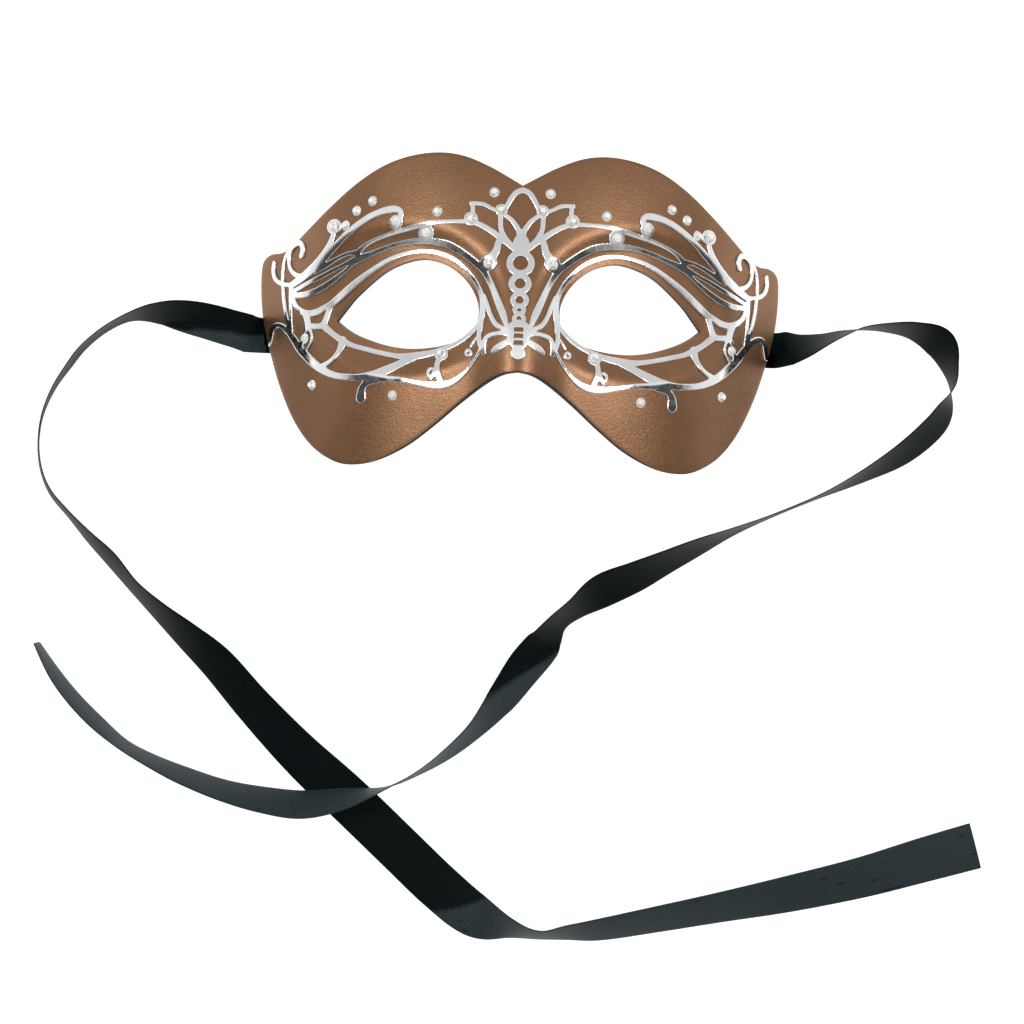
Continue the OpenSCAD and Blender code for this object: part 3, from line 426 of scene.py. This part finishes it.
def add_ribbon_coordinates(piece, points, across, along, back_and_lit_tone):
    """Writes each point's place on the flat ribbon, in metres, for the weave, and how far it takes the
    lighter back tone (matt back and painted light).
    """
    mesh = piece.data
    known = {tuple(np.round(p, 3)): values for p, *values in zip(points, across, along, back_and_lit_tone)}
    places = [tuple(np.round(np.array(v.co) / MM, 3)) for v in mesh.vertices]
    values = np.array([known.get(place, (0.0, 0.0, 0.0)) for place in places])
    layer = mesh.uv_layers.new(name="weave")
    corners = np.zeros(len(mesh.loops), np.int32)
    mesh.loops.foreach_get("vertex_index", corners)
    layer.data.foreach_set("uv", (values[corners, :2] * MM).ravel())
    mesh.attributes.new("back_and_lit_side", "FLOAT", "POINT").data.foreach_set("value", values[:, 2])


left_ribbon = ribbon("satin_ribbon_left", "ribbon_left", ROUTE_LEFT, CREASE_LEFT, BACK_AND_LIT_SIDE_LEFT, -1)
right_ribbon = ribbon("satin_ribbon_right", "ribbon_right", ROUTE_RIGHT, CREASE_RIGHT, BACK_AND_LIT_SIDE_RIGHT, 1)


# ---------------------------------------------------------------- layers of the mask
def layer_rays():
    outer, inner, seam = [], [], []
    for o_from, o_to, e_from, e_to, count in STRETCHES:
        outer.append(spread(outline_curve[o_from * FINE:o_to * FINE + 1], count))
        inner.append(spread(eye_curve[e_from * FINE:e_to * FINE + 1], count))
        seam.append(np.zeros(count, bool))
    inner.append(spread(eye_curve[CENTRE_EYE[0] * FINE:CENTRE_EYE[1] * FINE + 1], CENTRE_RAYS))
    seam.append(np.ones(CENTRE_RAYS, bool))
    outer.append(np.zeros((CENTRE_RAYS, 2)))
    outer, inner, seam = np.vstack(outer), np.vstack(inner), np.concatenate(seam)
    seam[0] = True
    return outer, inner, seam


def arch_share():
    """How far each ray belongs to the arch over the nose, whose raw edge shows, from 0 to 1."""
    before = sum(stretch[-1] for stretch in STRETCHES[:-1])
    along = np.arange(STRETCHES[-1][-1]) / STRETCHES[-1][-1]
    return np.concatenate([np.zeros(before), smooth(*ARCH_STARTS, along), np.ones(CENTRE_RAYS)])[:, None]


def layer_points(outer, inner, seam, inset_out, arch, inset_in, share):
    """Points on every ray: share 0 is at the outline and 1 at the eye hole, each moved in by its inset."""
    bottom, top = OUTLINE[-1][1], OUTLINE[0][1]
    low, high = bottom + inset_out + arch, top - inset_out
    inset_out = inset_out + arch * arch_share()
    off_seam = np.zeros(len(seam) - 1 - CENTRE_RAYS)
    along_seam = np.concatenate([[1], off_seam, np.arange(CENTRE_RAYS) / CENTRE_RAYS])
    on_line = np.stack([0 * along_seam, low + (high - low) * along_seam], -1)
    centre_line = np.stack([0 * along_seam, bottom + (top - bottom) * along_seam], -1)
    full = np.where(seam[:, None], centre_line, outer)
    inward = inner - full
    reach = np.linalg.norm(inward, axis=1, keepdims=True)
    a = np.where(seam[:, None], on_line, full + inward * inset_out / reach)
    b = inner - inward * inset_in / reach
    return a + (b - a) * share


def layer(name, low, high, inset, arch, soft_edge, node, slot):
    """One bonded layer between two heights above the face surface, with softened edges."""
    outer, inner, seam = layer_rays()
    rounding = [(inset + soft_edge - soft_edge * math.cos(t), soft_edge * math.sin(t))
                for t in np.radians([0, 30, 60, 90])]
    top_edge, low_edge = high - soft_edge, low + soft_edge
    rows = [(inward, inset, 0, top_edge + rise) for inward, rise in rounding]
    top = [(inset + soft_edge, inset + soft_edge, k / RINGS, high) for k in range(1, RINGS)]
    eye = [(inset, inward, 1, top_edge + rise) for inward, rise in reversed(rounding)]
    eye_low = [(inset, inward, 1, low_edge - rise) for inward, rise in rounding]
    under = [(inset + soft_edge, inset + soft_edge, 1 - k / RINGS, low) for k in range(1, RINGS)]
    out_low = [(inward, inset, 0, low_edge - rise) for inward, rise in reversed(rounding)]
    loop = rows + top + eye + eye_low + under + out_low
    # Rows of the loop round the outline's edge, where the centre seam needs no face
    skipped = set(range(len(rows) - 1)) | set(range(len(loop) - len(out_low), len(loop)))
    cut_side = len(loop) - 1
    right = np.stack([on_face(layer_points(outer, inner, seam, inset_out, arch, inset_in, share), lift)
                      for inset_out, inset_in, share, lift in loop])
    count = len(seam)
    faces, slots = [], []
    for r in range(len(loop)):
        nxt = (r + 1) % len(loop)
        for i in range(count):
            k = (i + 1) % count
            if r in skipped and seam[i] and seam[k]:
                continue
            faces.append((r * count + i, r * count + k, nxt * count + k, nxt * count + i))
            slots.append(1 if r == cut_side else 0)
    half = right.reshape(-1, 3)
    half[np.tile(seam, len(loop)) & (np.abs(half[:, 0]) < 1e-3), 0] = 0
    mirrored = half * np.array([-1, 1, 1])
    shift = len(half)
    points = np.vstack([half, mirrored])
    faces = faces + [tuple(v + shift for v in reversed(f)) for f in faces]
    piece = mesh_piece(name, points, faces, face_slots=slots + slots)
    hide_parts(node)
    return piece


cover = layer("leatherette_cover", 0, COVER_T, 0, RAW_EDGE, 0.22, "face_cover", "bronze_leatherette")
core = layer("moulded_core", -CORE_T, 0, 0, 0, 0.12, "core_shell", "moulded_core")
lining = layer("felt_lining_sheet", LINING_LOW, LINING_LOW + LINING_T, LINING_INSET, 0, 0.2,
               "felt_lining", "black_felt")


# ---------------------------------------------------------------- filigree
CELL = 0.19
METAL_EDGE = 0.07
METAL_BOX = ((0, 86), (-34, 42))
NOSE_SLOTS = (-6.9, -8.9, -11.1)
NOSE_SLOT = (2.7, 1.3)
STROKE_STEPS = 6
FAR_AWAY = 9.0
MARGIN = 1.5                        # round each stroke or ring, how far out its distance is worked out
FLATTEST = 0.3                      # least slope of the distance that is trusted


def metal_distance():
    """Distance to the edge of the metal over the right half, below zero inside it."""
    xs = np.arange(METAL_BOX[0][0], METAL_BOX[0][1], CELL)
    ys = np.arange(METAL_BOX[1][0], METAL_BOX[1][1], CELL)
    field = np.full((len(xs), len(ys)), FAR_AWAY)

    def stamp(x0, x1, y0, y1, shape):
        i0, i1 = np.searchsorted(xs, [x0, x1])
        j0, j1 = np.searchsorted(ys, [y0, y1])
        gx, gy = np.meshgrid(xs[i0:i1], ys[j0:j1], indexing="ij")
        field[i0:i1, j0:j1] = np.minimum(field[i0:i1, j0:j1], shape(gx, gy))

    for stroke in STROKES:
        line = curve(stroke, STROKE_STEPS)
        for a, b in zip(line[:-1], line[1:]):
            reach = max(a[2], b[2]) / 2 + MARGIN

            def bar(gx, gy, a=a, b=b):
                d = b[:2] - a[:2]
                t = np.clip(((gx - a[0]) * d[0] + (gy - a[1]) * d[1]) / max(d @ d, 1e-9), 0, 1)
                return np.hypot(gx - a[0] - d[0] * t, gy - a[1] - d[1] * t) - (a[2] + (b[2] - a[2]) * t) / 2
            stamp(min(a[0], b[0]) - reach, max(a[0], b[0]) + reach,
                  min(a[1], b[1]) - reach, max(a[1], b[1]) + reach, bar)
    for x, y, outer, inner in DISCS:
        def disc(gx, gy, x=x, y=y, outer=outer, inner=inner):
            far = np.hypot(gx - x, gy - y)
            return np.maximum(far - outer, inner - far) if inner else far - outer
        reach = outer + MARGIN
        stamp(x - reach, x + reach, y - reach, y + reach, disc)
    gx, gy = np.meshgrid(xs, ys, indexing="ij")
    for y in NOSE_SLOTS:
        over_x, over_y = np.abs(gx) - NOSE_SLOT[0] / 2, np.abs(gy - y) - NOSE_SLOT[1] / 2
        past_corner = np.hypot(np.maximum(over_x, 0), np.maximum(over_y, 0))
        field = np.maximum(field, -(past_corner + np.minimum(np.maximum(over_x, over_y), 0)))
    return xs, ys, field


def filigree():
    xs, ys, field = metal_distance()
    middle = (field[:-1, :-1] + field[1:, :-1] + field[:-1, 1:] + field[1:, 1:]) / 4
    inside = middle < 0
    gx, gy = np.meshgrid(xs, ys, indexing="ij")
    used = np.zeros(field.shape, int)
    for di in (0, 1):
        for dj in (0, 1):
            used[di:di + inside.shape[0], dj:dj + inside.shape[1]] += inside
    edge_x = np.arange(len(xs)) == 0
    whole = np.where(edge_x[:, None], 2, 4)
    border = (used > 0) & (used < whole)
    slope_x, slope_y = np.gradient(field, CELL)
    size = np.maximum(np.hypot(slope_x, slope_y), FLATTEST)
    shift = np.clip(field, -CELL, CELL) / size ** 2
    px = np.where(border, gx - slope_x * shift, gx)
    py = np.where(border, gy - slope_y * shift, gy)
    px[0, :] = 0
    number = -np.ones(field.shape, int)
    number[used > 0] = np.arange((used > 0).sum())
    xy = np.stack([px[used > 0], py[used > 0]], -1)
    is_border = border[used > 0]
    top = on_face(xy, np.where(is_border, METAL_HIGH - METAL_EDGE, METAL_HIGH))
    bottom = on_face(xy, METAL_LOW)
    count = len(xy)
    cells = np.argwhere(inside)
    a, b = number[cells[:, 0], cells[:, 1]], number[cells[:, 0] + 1, cells[:, 1]]
    c, d = number[cells[:, 0] + 1, cells[:, 1] + 1], number[cells[:, 0], cells[:, 1] + 1]
    quads = np.stack([a, b, c, d], -1)
    edges = np.vstack([quads[:, [k, (k + 1) % 4]] for k in range(4)])
    key = np.sort(edges, axis=1)
    _, first, uses = np.unique(key, axis=0, return_index=True, return_counts=True)
    rim = edges[first[uses == 1]]
    on_seam = (xy[rim[:, 0], 0] == 0) & (xy[rim[:, 1], 0] == 0)
    rim = rim[~on_seam]
    half = np.vstack([top, bottom])
    faces = np.vstack([quads, quads[:, ::-1] + count,
                       np.stack([rim[:, 1], rim[:, 0], rim[:, 0] + count, rim[:, 1] + count], -1)])
    points = np.vstack([half, half * np.array([-1, 1, 1])])
    faces = np.vstack([faces, faces[:, ::-1] + len(half)])
    piece = mesh_piece("metal_filigree", points, faces)
    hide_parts("filigree_plate")
    return piece


metal = filigree()


# ---------------------------------------------------------------- crystals
TABLE_SHARE = 0.46
BEZEL_SHARE = 0.68
GIRDLE_SHARE = 0.82
BEZEL_RISE = 0.7
GIRDLE_RISE = 0.4
FOOT_RISE = 0.15
# Painted highlight: the ramp value put on each stone's table, where the facet colour is white
TABLE_PAINTED_GLINT = 0.7


def crystal_mesh(at, lift, turn):
    """Points and faces of one flat-backed crystal with a table, eight kites and a girdle."""
    r, h = CRYSTAL_D / 2, CRYSTAL_H

    def ring(radius, z, count, offset):
        t = offset + np.arange(count) * 2 * math.pi / count
        return np.stack([radius * np.cos(t), radius * np.sin(t), np.full(count, z)], -1)
    local = np.vstack([ring(r * TABLE_SHARE, h, 8, turn),
                       ring(r * BEZEL_SHARE, h * BEZEL_RISE, 8, turn + math.pi / 8),
                       ring(r * GIRDLE_SHARE, h * GIRDLE_RISE, 16, turn),
                       ring(r, h * FOOT_RISE, 16, turn), ring(r, 0, 16, turn)])
    faces = [tuple(range(8))]
    slots = [0]
    for k in range(8):
        n = (k + 1) % 8
        g = 16 + 2 * k
        faces += [(k, 8 + k, n), (k, g, 8 + k), (8 + k, 16 + (2 * k + 2) % 16, n), (g, g + 1, 8 + k),
                  (g + 1, 16 + (2 * k + 2) % 16, 8 + k)]
        slots += [0] * 5
    # The girdle slope, the foot and the back take slot 1: a dark glue ring, darkened further as painted
    # shade where the stone meets the surface
    for k in range(16):
        n = (k + 1) % 16
        faces += [(16 + k, 32 + k, 32 + n, 16 + n), (32 + k, 48 + k, 48 + n, 32 + n)]
        slots += [1, 1]
    faces.append(tuple(48 + k for k in range(15, -1, -1)))
    slots.append(1)
    spot = np.array([at], float)
    n = normal(spot[:, 0], spot[:, 1])[0]
    x_axis = np.cross([0, 1, 0], n)
    x_axis /= np.linalg.norm(x_axis)
    axes = np.stack([x_axis, np.cross(n, x_axis), n])
    return on_face(spot, lift)[0] + local @ axes, faces, slots


painted_glint_random = np.random.default_rng(11)


def crystal_piece(name, node, spots):
    points, faces, slots = [], [], []
    for at, lift in spots:
        # Its place sets its turn, so that the stones are not all turned alike
        turn = math.radians((at[0] * 37 + at[1] * 17) % 45)
        p, f, s = crystal_mesh(at, lift, turn)
        shift = sum(len(q) for q in points)
        points.append(p)
        faces += [tuple(v + shift for v in face) for face in f]
        slots += s
    piece = mesh_piece(name, np.vstack(points), faces, smooth_shading=False, face_slots=slots)
    # Painted glints: each facet gets a random lighter or darker tone, and each table a bright painted
    # highlight
    painted_glint = painted_glint_random.random(len(piece.data.polygons))
    painted_glint[::len(faces) // len(spots)] = TABLE_PAINTED_GLINT
    piece.data.attributes.new("painted_glint", "FLOAT", "FACE").data.foreach_set("value", painted_glint)
    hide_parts(node)
    return piece


def crystal_spots(group, side):
    on_metal, on_cover = CRYSTALS[group]
    raised = [((x * side, y), METAL_HIGH) for x, y in on_metal]
    return raised + [((x * side, y), COVER_T) for x, y in on_cover]


crest_spots = crystal_spots("crest", -1) + crystal_spots("crest", 1)
crystal_pieces = [crystal_piece("crystals_crest", "crest_crystals", crest_spots)]
for side_name, side in (("left", -1), ("right", 1)):
    for group, node in (("brow", "brow_crystal"), ("lid", "lid_crystals"), ("temple", "temple_crystals"),
                        ("cheek", "cheek_crystals")):
        crystal_pieces.append(crystal_piece(f"crystals_{group}_{side_name}", f"{node}_{side_name}",
                                            crystal_spots(group, side)))


# ---------------------------------------------------------------- ribbon patches
PATCH_ROWS = 28
PATCH_ROUND = 2.2
PATCH_SLOPE = 2.6
PATCH_GAP = 0.06
PATCH_RIM = 0.35                    # how far each side of the rim is rounded off, as a share of PATCH_T


def patch(side, name, node):
    """A small cloth patch glued over the end of a ribbon, bulging over it."""
    u = np.linspace(-1, 1, PATCH_ROWS + 1)
    gu, gv = np.meshgrid(u, u, indexing="ij")
    half = np.array(PATCH_SIZE) / 2
    corner = PATCH_ROUND / half
    x, y = gu * half[0], gv * half[1]
    over_x = np.maximum(np.abs(x) - (half[0] - PATCH_ROUND), 0)
    over_y = np.maximum(np.abs(y) - (half[1] - PATCH_ROUND), 0)
    far = np.hypot(over_x, over_y)
    square = np.maximum(over_x, over_y)
    pull = np.where(far > 1e-9, square / np.maximum(far, 1e-9), 1)
    x = np.sign(x) * (np.abs(x) - over_x + over_x * pull)
    y = np.sign(y) * (np.abs(y) - over_y + over_y * pull)
    from_edge = np.minimum(half[0] - np.abs(gu * half[0]), half[1] - np.abs(gv * half[1]))
    bulge = smooth(0, PATCH_SLOPE, from_edge)
    under = LINING_LOW - PATCH_GAP - (RIBBON_T + 3 * GLUE) * bulge
    xy = np.stack([(x + PATCH_MIDDLE[0]) * side, y + PATCH_MIDDLE[1]], -1)
    rim = from_edge < 1e-9
    upper = on_face(xy, np.where(rim, under - PATCH_T * PATCH_RIM, under))
    lower = on_face(xy, np.where(rim, under - PATCH_T * (1 - PATCH_RIM), under - PATCH_T))
    n = PATCH_ROWS + 1
    points = np.vstack([upper.reshape(-1, 3), lower.reshape(-1, 3)])
    top = grid_faces(n, n)
    faces = top + [tuple(v + n * n for v in reversed(f)) for f in top]
    border = ([(i, 0) for i in range(n - 1)] + [(n - 1, j) for j in range(n - 1)]
              + [(i, n - 1) for i in range(n - 1, 0, -1)] + [(0, j) for j in range(n - 1, 0, -1)])
    number = [i * n + j for i, j in border]
    for k, here in enumerate(number):
        there = number[(k + 1) % len(number)]
        faces.append((here, there, there + n * n, here + n * n))
    piece = mesh_piece(name, points, faces)
    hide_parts(node)
    return piece


patches = [patch(-1, "cloth_patch_left", "ribbon_patch_left"),
           patch(1, "cloth_patch_right", "ribbon_patch_right")]


# ---------------------------------------------------------------- materials
class Look:
    """A node material with a Principled shader, and short ways to add textures to it."""

    def __init__(self, name, **values):
        self.material = bpy.data.materials.new(name)
        self.material.use_nodes = True
        self.tree = self.material.node_tree
        self.shader = self.tree.nodes["Principled BSDF"]
        for socket, value in values.items():
            self.shader.inputs[socket.replace("_", " ")].default_value = value
        self.place = self.tree.nodes.new("ShaderNodeTexCoord")

    def node(self, kind, **values):
        made = self.tree.nodes.new(kind)
        for key, value in values.items():
            if hasattr(made, key) and key not in made.inputs:
                setattr(made, key, value)
            else:
                made.inputs[key.replace("_", " ")].default_value = value
        return made

    def link(self, a, b):
        self.tree.links.new(a, b)

    def coordinates(self, stretch=(1, 1, 1), source="Object"):
        mapping = self.node("ShaderNodeMapping", Scale=stretch)
        self.link(self.place.outputs[source], mapping.inputs["Vector"])
        return mapping.outputs["Vector"]

    def noise(self, scale, detail=3.0, rough=0.55, vector=None):
        made = self.node("ShaderNodeTexNoise", Scale=scale, Detail=detail, Roughness=rough)
        self.link(vector or self.coordinates(), made.inputs["Vector"])
        return made.outputs["Fac"]

    def ramp(self, value, stops):
        made = self.node("ShaderNodeValToRGB")
        points = made.color_ramp.elements
        while len(points) < len(stops):
            points.new(0.5)
        for element, (at, colour) in zip(points, stops):
            element.position = at
            element.color = (*colour, 1) if len(colour) == 3 else colour
        self.link(value, made.inputs["Fac"])
        return made.outputs["Color"]

    def math(self, operation, a, b=None):
        made = self.node("ShaderNodeMath", operation=operation)
        for socket, value in zip(made.inputs, (a, b)):
            if value is None:
                continue
            if isinstance(value, (int, float)):
                socket.default_value = value
            else:
                self.link(value, socket)
        return made.outputs["Value"]

    def bump(self, height, distance, strength=1.0, before=None):
        made = self.node("ShaderNodeBump", Strength=strength, Distance=distance)
        self.link(height, made.inputs["Height"])
        if before is not None:
            self.link(before, made.inputs["Normal"])
        return made.outputs["Normal"]

    def set(self, socket, value):
        self.link(value, self.shader.inputs[socket])


def grey(v):
    return (v, v, v)


def leatherette():
    look = Look("bronze_leatherette", Metallic=0.75, Coat_Weight=0.25, Coat_Roughness=0.3, Sheen_Weight=0.1,
                Sheen_Roughness=0.4)
    blotch = look.noise(38, 4)
    look.set("Base Color", look.ramp(blotch, [(0.3, (0.228, 0.110, 0.050)), (0.7, (0.284, 0.142, 0.067))]))
    grain = look.noise(2300, 3, 0.6, look.coordinates((0.4, 1, 1)))
    pebble = look.node("ShaderNodeTexVoronoi", Scale=1300.0)
    look.link(look.coordinates(), pebble.inputs["Vector"])
    look.set("Roughness", look.ramp(look.noise(900, 4), [(0.3, grey(0.27)), (0.75, grey(0.4))]))
    fine = look.bump(grain, 0.00010, 0.8)
    coarse = look.bump(pebble.outputs["Distance"], 0.00006, 0.4, fine)
    look.set("Normal", look.bump(look.noise(55, 2), 0.0006, 0.2, coarse))
    return look.material


def cut_edge():
    look = Look("dark_cut_edge", Roughness=0.75)
    browns = [(0.3, (0.012, 0.009, 0.007)), (0.8, (0.05, 0.03, 0.02))]
    look.set("Base Color", look.ramp(look.noise(1200), browns))
    look.set("Normal", look.bump(look.noise(3000), 0.00008, 0.6))
    return look.material


def moulded_plastic():
    look = Look("black_moulded_core", Roughness=0.6)
    look.set("Base Color", look.ramp(look.noise(700), [(0.3, grey(0.012)), (0.8, grey(0.032))]))
    look.set("Normal", look.bump(look.noise(2200, 4), 0.00008, 0.6))
    return look.material


def felt():
    look = Look("black_felt", Roughness=0.95, Sheen_Weight=0.25, Sheen_Roughness=0.5)
    look.set("Base Color", look.ramp(look.noise(900, 6, 0.7), [(0.3, grey(0.008)), (0.75, grey(0.030))]))
    fibres = look.noise(2400, 6, 0.75, look.coordinates((1, 0.35, 1)))
    look.set("Normal", look.bump(look.noise(700, 5, 0.7), 0.0003, 0.6, look.bump(fibres, 0.0002, 0.7)))
    return look.material


def polished_metal():
    look = Look("polished_metal", Metallic=1.0)
    silvers = [(0.3, (0.86, 0.86, 0.87)), (0.7, (0.95, 0.95, 0.95))]
    look.set("Base Color", look.ramp(look.noise(120), silvers))
    look.set("Roughness", look.ramp(look.noise(500, 4), [(0.3, grey(0.08)), (0.75, grey(0.2))]))
    look.set("Normal", look.bump(look.noise(260, 3), 0.00012, 0.35))
    return look.material


def crystal_glass():
    look = Look("crystal_glass", Metallic=0.2, Roughness=0.05, IOR=1.75)
    facet = look.node("ShaderNodeAttribute", attribute_name="painted_glint")
    # Facet colour runs from dark to white with the painted glint value: painted glints and reflections, not
    # the glass's own colour
    painted_glints = [(0.0, (0.42, 0.40, 0.34)), (0.2, (0.84, 0.83, 0.76)), (0.4, (0.98, 0.96, 0.88)),
                (0.7, grey(1.0))]
    look.set("Base Color", look.ramp(facet.outputs["Fac"], painted_glints))
    return look.material


def glue_rim_and_shade():
    look = Look("dark_glue_rim_and_painted_shade", Metallic=1.0)
    # Dark rim colour: partly the glue ring, partly painted shade round the stone's foot
    rim_and_shade_colours = [(0.3, (0.07, 0.06, 0.045)), (0.7, (0.20, 0.18, 0.14))]
    look.set("Base Color", look.ramp(look.noise(1500), rim_and_shade_colours))
    look.set("Roughness", look.ramp(look.noise(2500), [(0.3, grey(0.2)), (0.7, grey(0.35))]))
    return look.material


def satin():
    look = Look("black_satin", IOR=1.42, Specular_IOR_Level=0.05, Sheen_Weight=0.05, Sheen_Roughness=0.35,
                Sheen_Tint=(0.75, 0.95, 1.0, 1.0))
    diagonal = look.node("ShaderNodeMapping", Rotation=(0, 0, math.radians(62)))
    look.link(look.coordinates((1, 1, 1), "UV"), diagonal.inputs["Vector"])
    ribs = look.node("ShaderNodeTexWave", Scale=360.0)
    look.link(diagonal.outputs["Vector"], ribs.inputs["Vector"])
    threads = look.noise(3600, 2, 0.5, look.coordinates((0.5, 1, 1), "UV"))
    rib_part = look.math("MULTIPLY", ribs.outputs["Fac"], 0.6)
    weave = look.math("ADD", rib_part, look.math("MULTIPLY", threads, 0.4))
    face = look.ramp(weave, [(0.1, (0.0020, 0.0044, 0.0048)), (0.9, (0.0040, 0.0078, 0.0082))])
    # The lighter back tone: the ribbon's matt back, and painted light on the lit part below each crease
    back_and_lit_tone = look.ramp(weave, [(0.1, (0.021, 0.031, 0.036)), (0.9, (0.034, 0.047, 0.053))])
    back_and_lit_side = look.node("ShaderNodeAttribute", attribute_name="back_and_lit_side")
    both = look.node("ShaderNodeMix", data_type="RGBA")
    look.link(back_and_lit_side.outputs["Fac"], both.inputs["Factor"])
    colours = [socket for socket in both.inputs if socket.type == "RGBA"]
    look.link(face, colours[0])
    look.link(back_and_lit_tone, colours[1])
    look.set("Base Color", [socket for socket in both.outputs if socket.type == "RGBA"][0])
    look.set("Roughness", look.ramp(threads, [(0.3, grey(0.40)), (0.75, grey(0.52))]))
    look.set("Normal", look.bump(ribs.outputs["Fac"], 0.00006, 0.5, look.bump(threads, 0.00004, 0.5)))
    return look.material


def patch_cloth():
    look = Look("black_cotton", Roughness=0.85, Sheen_Weight=0.2)
    across = look.node("ShaderNodeTexWave", Scale=900.0, bands_direction="X")
    down = look.node("ShaderNodeTexWave", Scale=900.0, bands_direction="Y")
    for wave in (across, down):
        look.link(look.coordinates(), wave.inputs["Vector"])
    weave = look.math("MULTIPLY", across.outputs["Fac"], down.outputs["Fac"])
    look.set("Base Color", look.ramp(weave, [(0.1, grey(0.010)), (0.9, grey(0.034))]))
    look.set("Normal", look.bump(weave, 0.0001, 0.8))
    return look.material


def dress(piece, *materials):
    piece.data.materials.clear()
    for material in materials:
        piece.data.materials.append(material)


dark_edge = cut_edge()
dress(cover, leatherette(), dark_edge)
dress(core, moulded_plastic(), dark_edge)
felt_look = felt()
dress(lining, felt_look, felt_look)
dress(metal, polished_metal())
glass, rim_and_shade = crystal_glass(), glue_rim_and_shade()
for piece in crystal_pieces:
    dress(piece, glass, rim_and_shade)
ribbon_look = satin()
dress(left_ribbon, ribbon_look)
dress(right_ribbon, ribbon_look)
patch_look = patch_cloth()
for piece in patches:
    dress(piece, patch_look)

# ---------------------------------------------------------------- floor and light
FLOOR_HALF = 3                      # metres
floor_mesh = bpy.data.meshes.new("floor")
floor_corners = [(x * FLOOR_HALF, y * FLOOR_HALF, 0) for x, y in ((-1, -1), (1, -1), (1, 1), (-1, 1))]
floor_mesh.from_pydata(floor_corners, [], [(0, 1, 2, 3)])
floor = bpy.data.objects.new("floor", floor_mesh)
bpy.context.scene.collection.objects.link(floor)
floor_look = Look("white_light_table", Roughness=0.9, Emission_Strength=0.92)
floor_look.set("Base Color", floor_look.ramp(floor_look.noise(3), [(0.3, grey(0.40)), (0.7, grey(0.42))]))
floor_look.shader.inputs["Emission Color"].default_value = (1, 1, 1, 1)
dress(floor, floor_look.material)

bpy.context.scene.view_settings.view_transform = "Standard"

WORLD_STRENGTH = 0.85
SOFTBOX_PLACE = (0.62, 0.03, 0.84)  # metres, of the one on the right
SOFTBOX_AIM = (0, 0, 0.03)
SOFTBOX_SIZE = (0.26, 0.26)
SOFTBOX_POWER = 2.1


def studio_world():
    """A white tent of light. The metal mirrors its dark gaps, at both sides and low at the chin end."""
    world = bpy.data.worlds.new("studio")
    bpy.context.scene.world = world
    world.use_nodes = True
    tree = world.node_tree
    place = tree.nodes.new("ShaderNodeTexCoord")
    split = tree.nodes.new("ShaderNodeSeparateXYZ")
    tree.links.new(place.outputs["Generated"], split.inputs["Vector"])

    def node_math(operation, *values):
        made = tree.nodes.new("ShaderNodeMath")
        made.operation = operation
        for socket, value in zip(made.inputs, values):
            if isinstance(value, float):
                socket.default_value = value
            else:
                tree.links.new(value, socket)
        return made.outputs["Value"]

    def ramp(value, stops):
        made = tree.nodes.new("ShaderNodeValToRGB")
        while len(made.color_ramp.elements) < len(stops):
            made.color_ramp.elements.new(0.5)
        for element, (at, bright) in zip(made.color_ramp.elements, stops):
            element.position = at
            element.color = (bright, bright, bright, 1)
        tree.links.new(value, made.inputs["Fac"])
        return made.outputs["Color"]

    sideways = ramp(node_math("ABSOLUTE", split.outputs["X"]),
                    [(0.64, 1.0), (0.72, 0.06), (0.93, 0.06), (0.97, 1.0)])
    from_brow = ramp(split.outputs["Y"], [(0.04, 0.0), (0.16, 1.0)])
    sideways = node_math("MAXIMUM", sideways, from_brow)
    lengthways = ramp(node_math("MULTIPLY_ADD", split.outputs["Y"], 0.5, 0.5),
                      [(0.0, 1.0), (0.03, 0.12), (0.125, 0.12), (0.17, 1.0), (0.62, 1.0), (0.70, 0.75)])
    both = tree.nodes.new("ShaderNodeMix")
    both.data_type = "RGBA"
    both.blend_type = "MULTIPLY"
    both.inputs["Factor"].default_value = 1.0
    colours = [socket for socket in both.inputs if socket.type == "RGBA"]
    tree.links.new(sideways, colours[0])
    tree.links.new(lengthways, colours[1])
    background = tree.nodes["Background"]
    background.inputs["Strength"].default_value = WORLD_STRENGTH
    mixed = [socket for socket in both.outputs if socket.type == "RGBA"]
    tree.links.new(mixed[0], background.inputs["Color"])


studio_world()


def softbox(name, side):
    """A soft light that faces the mask from above, on side -1 or 1."""
    across, along, height = SOFTBOX_PLACE
    place = Vector((across * side, along, height))
    data = bpy.data.lights.new(name, "AREA")
    data.shape = "RECTANGLE"
    data.size, data.size_y = SOFTBOX_SIZE
    data.energy = SOFTBOX_POWER
    lamp = bpy.data.objects.new(name, data)
    lamp.location = place
    lamp.rotation_euler = (Vector(SOFTBOX_AIM) - place).to_track_quat("-Z", "Y").to_euler()
    lamp.visible_camera = False
    bpy.context.scene.collection.objects.link(lamp)


softbox("left_softbox", -1)
softbox("right_softbox", 1)
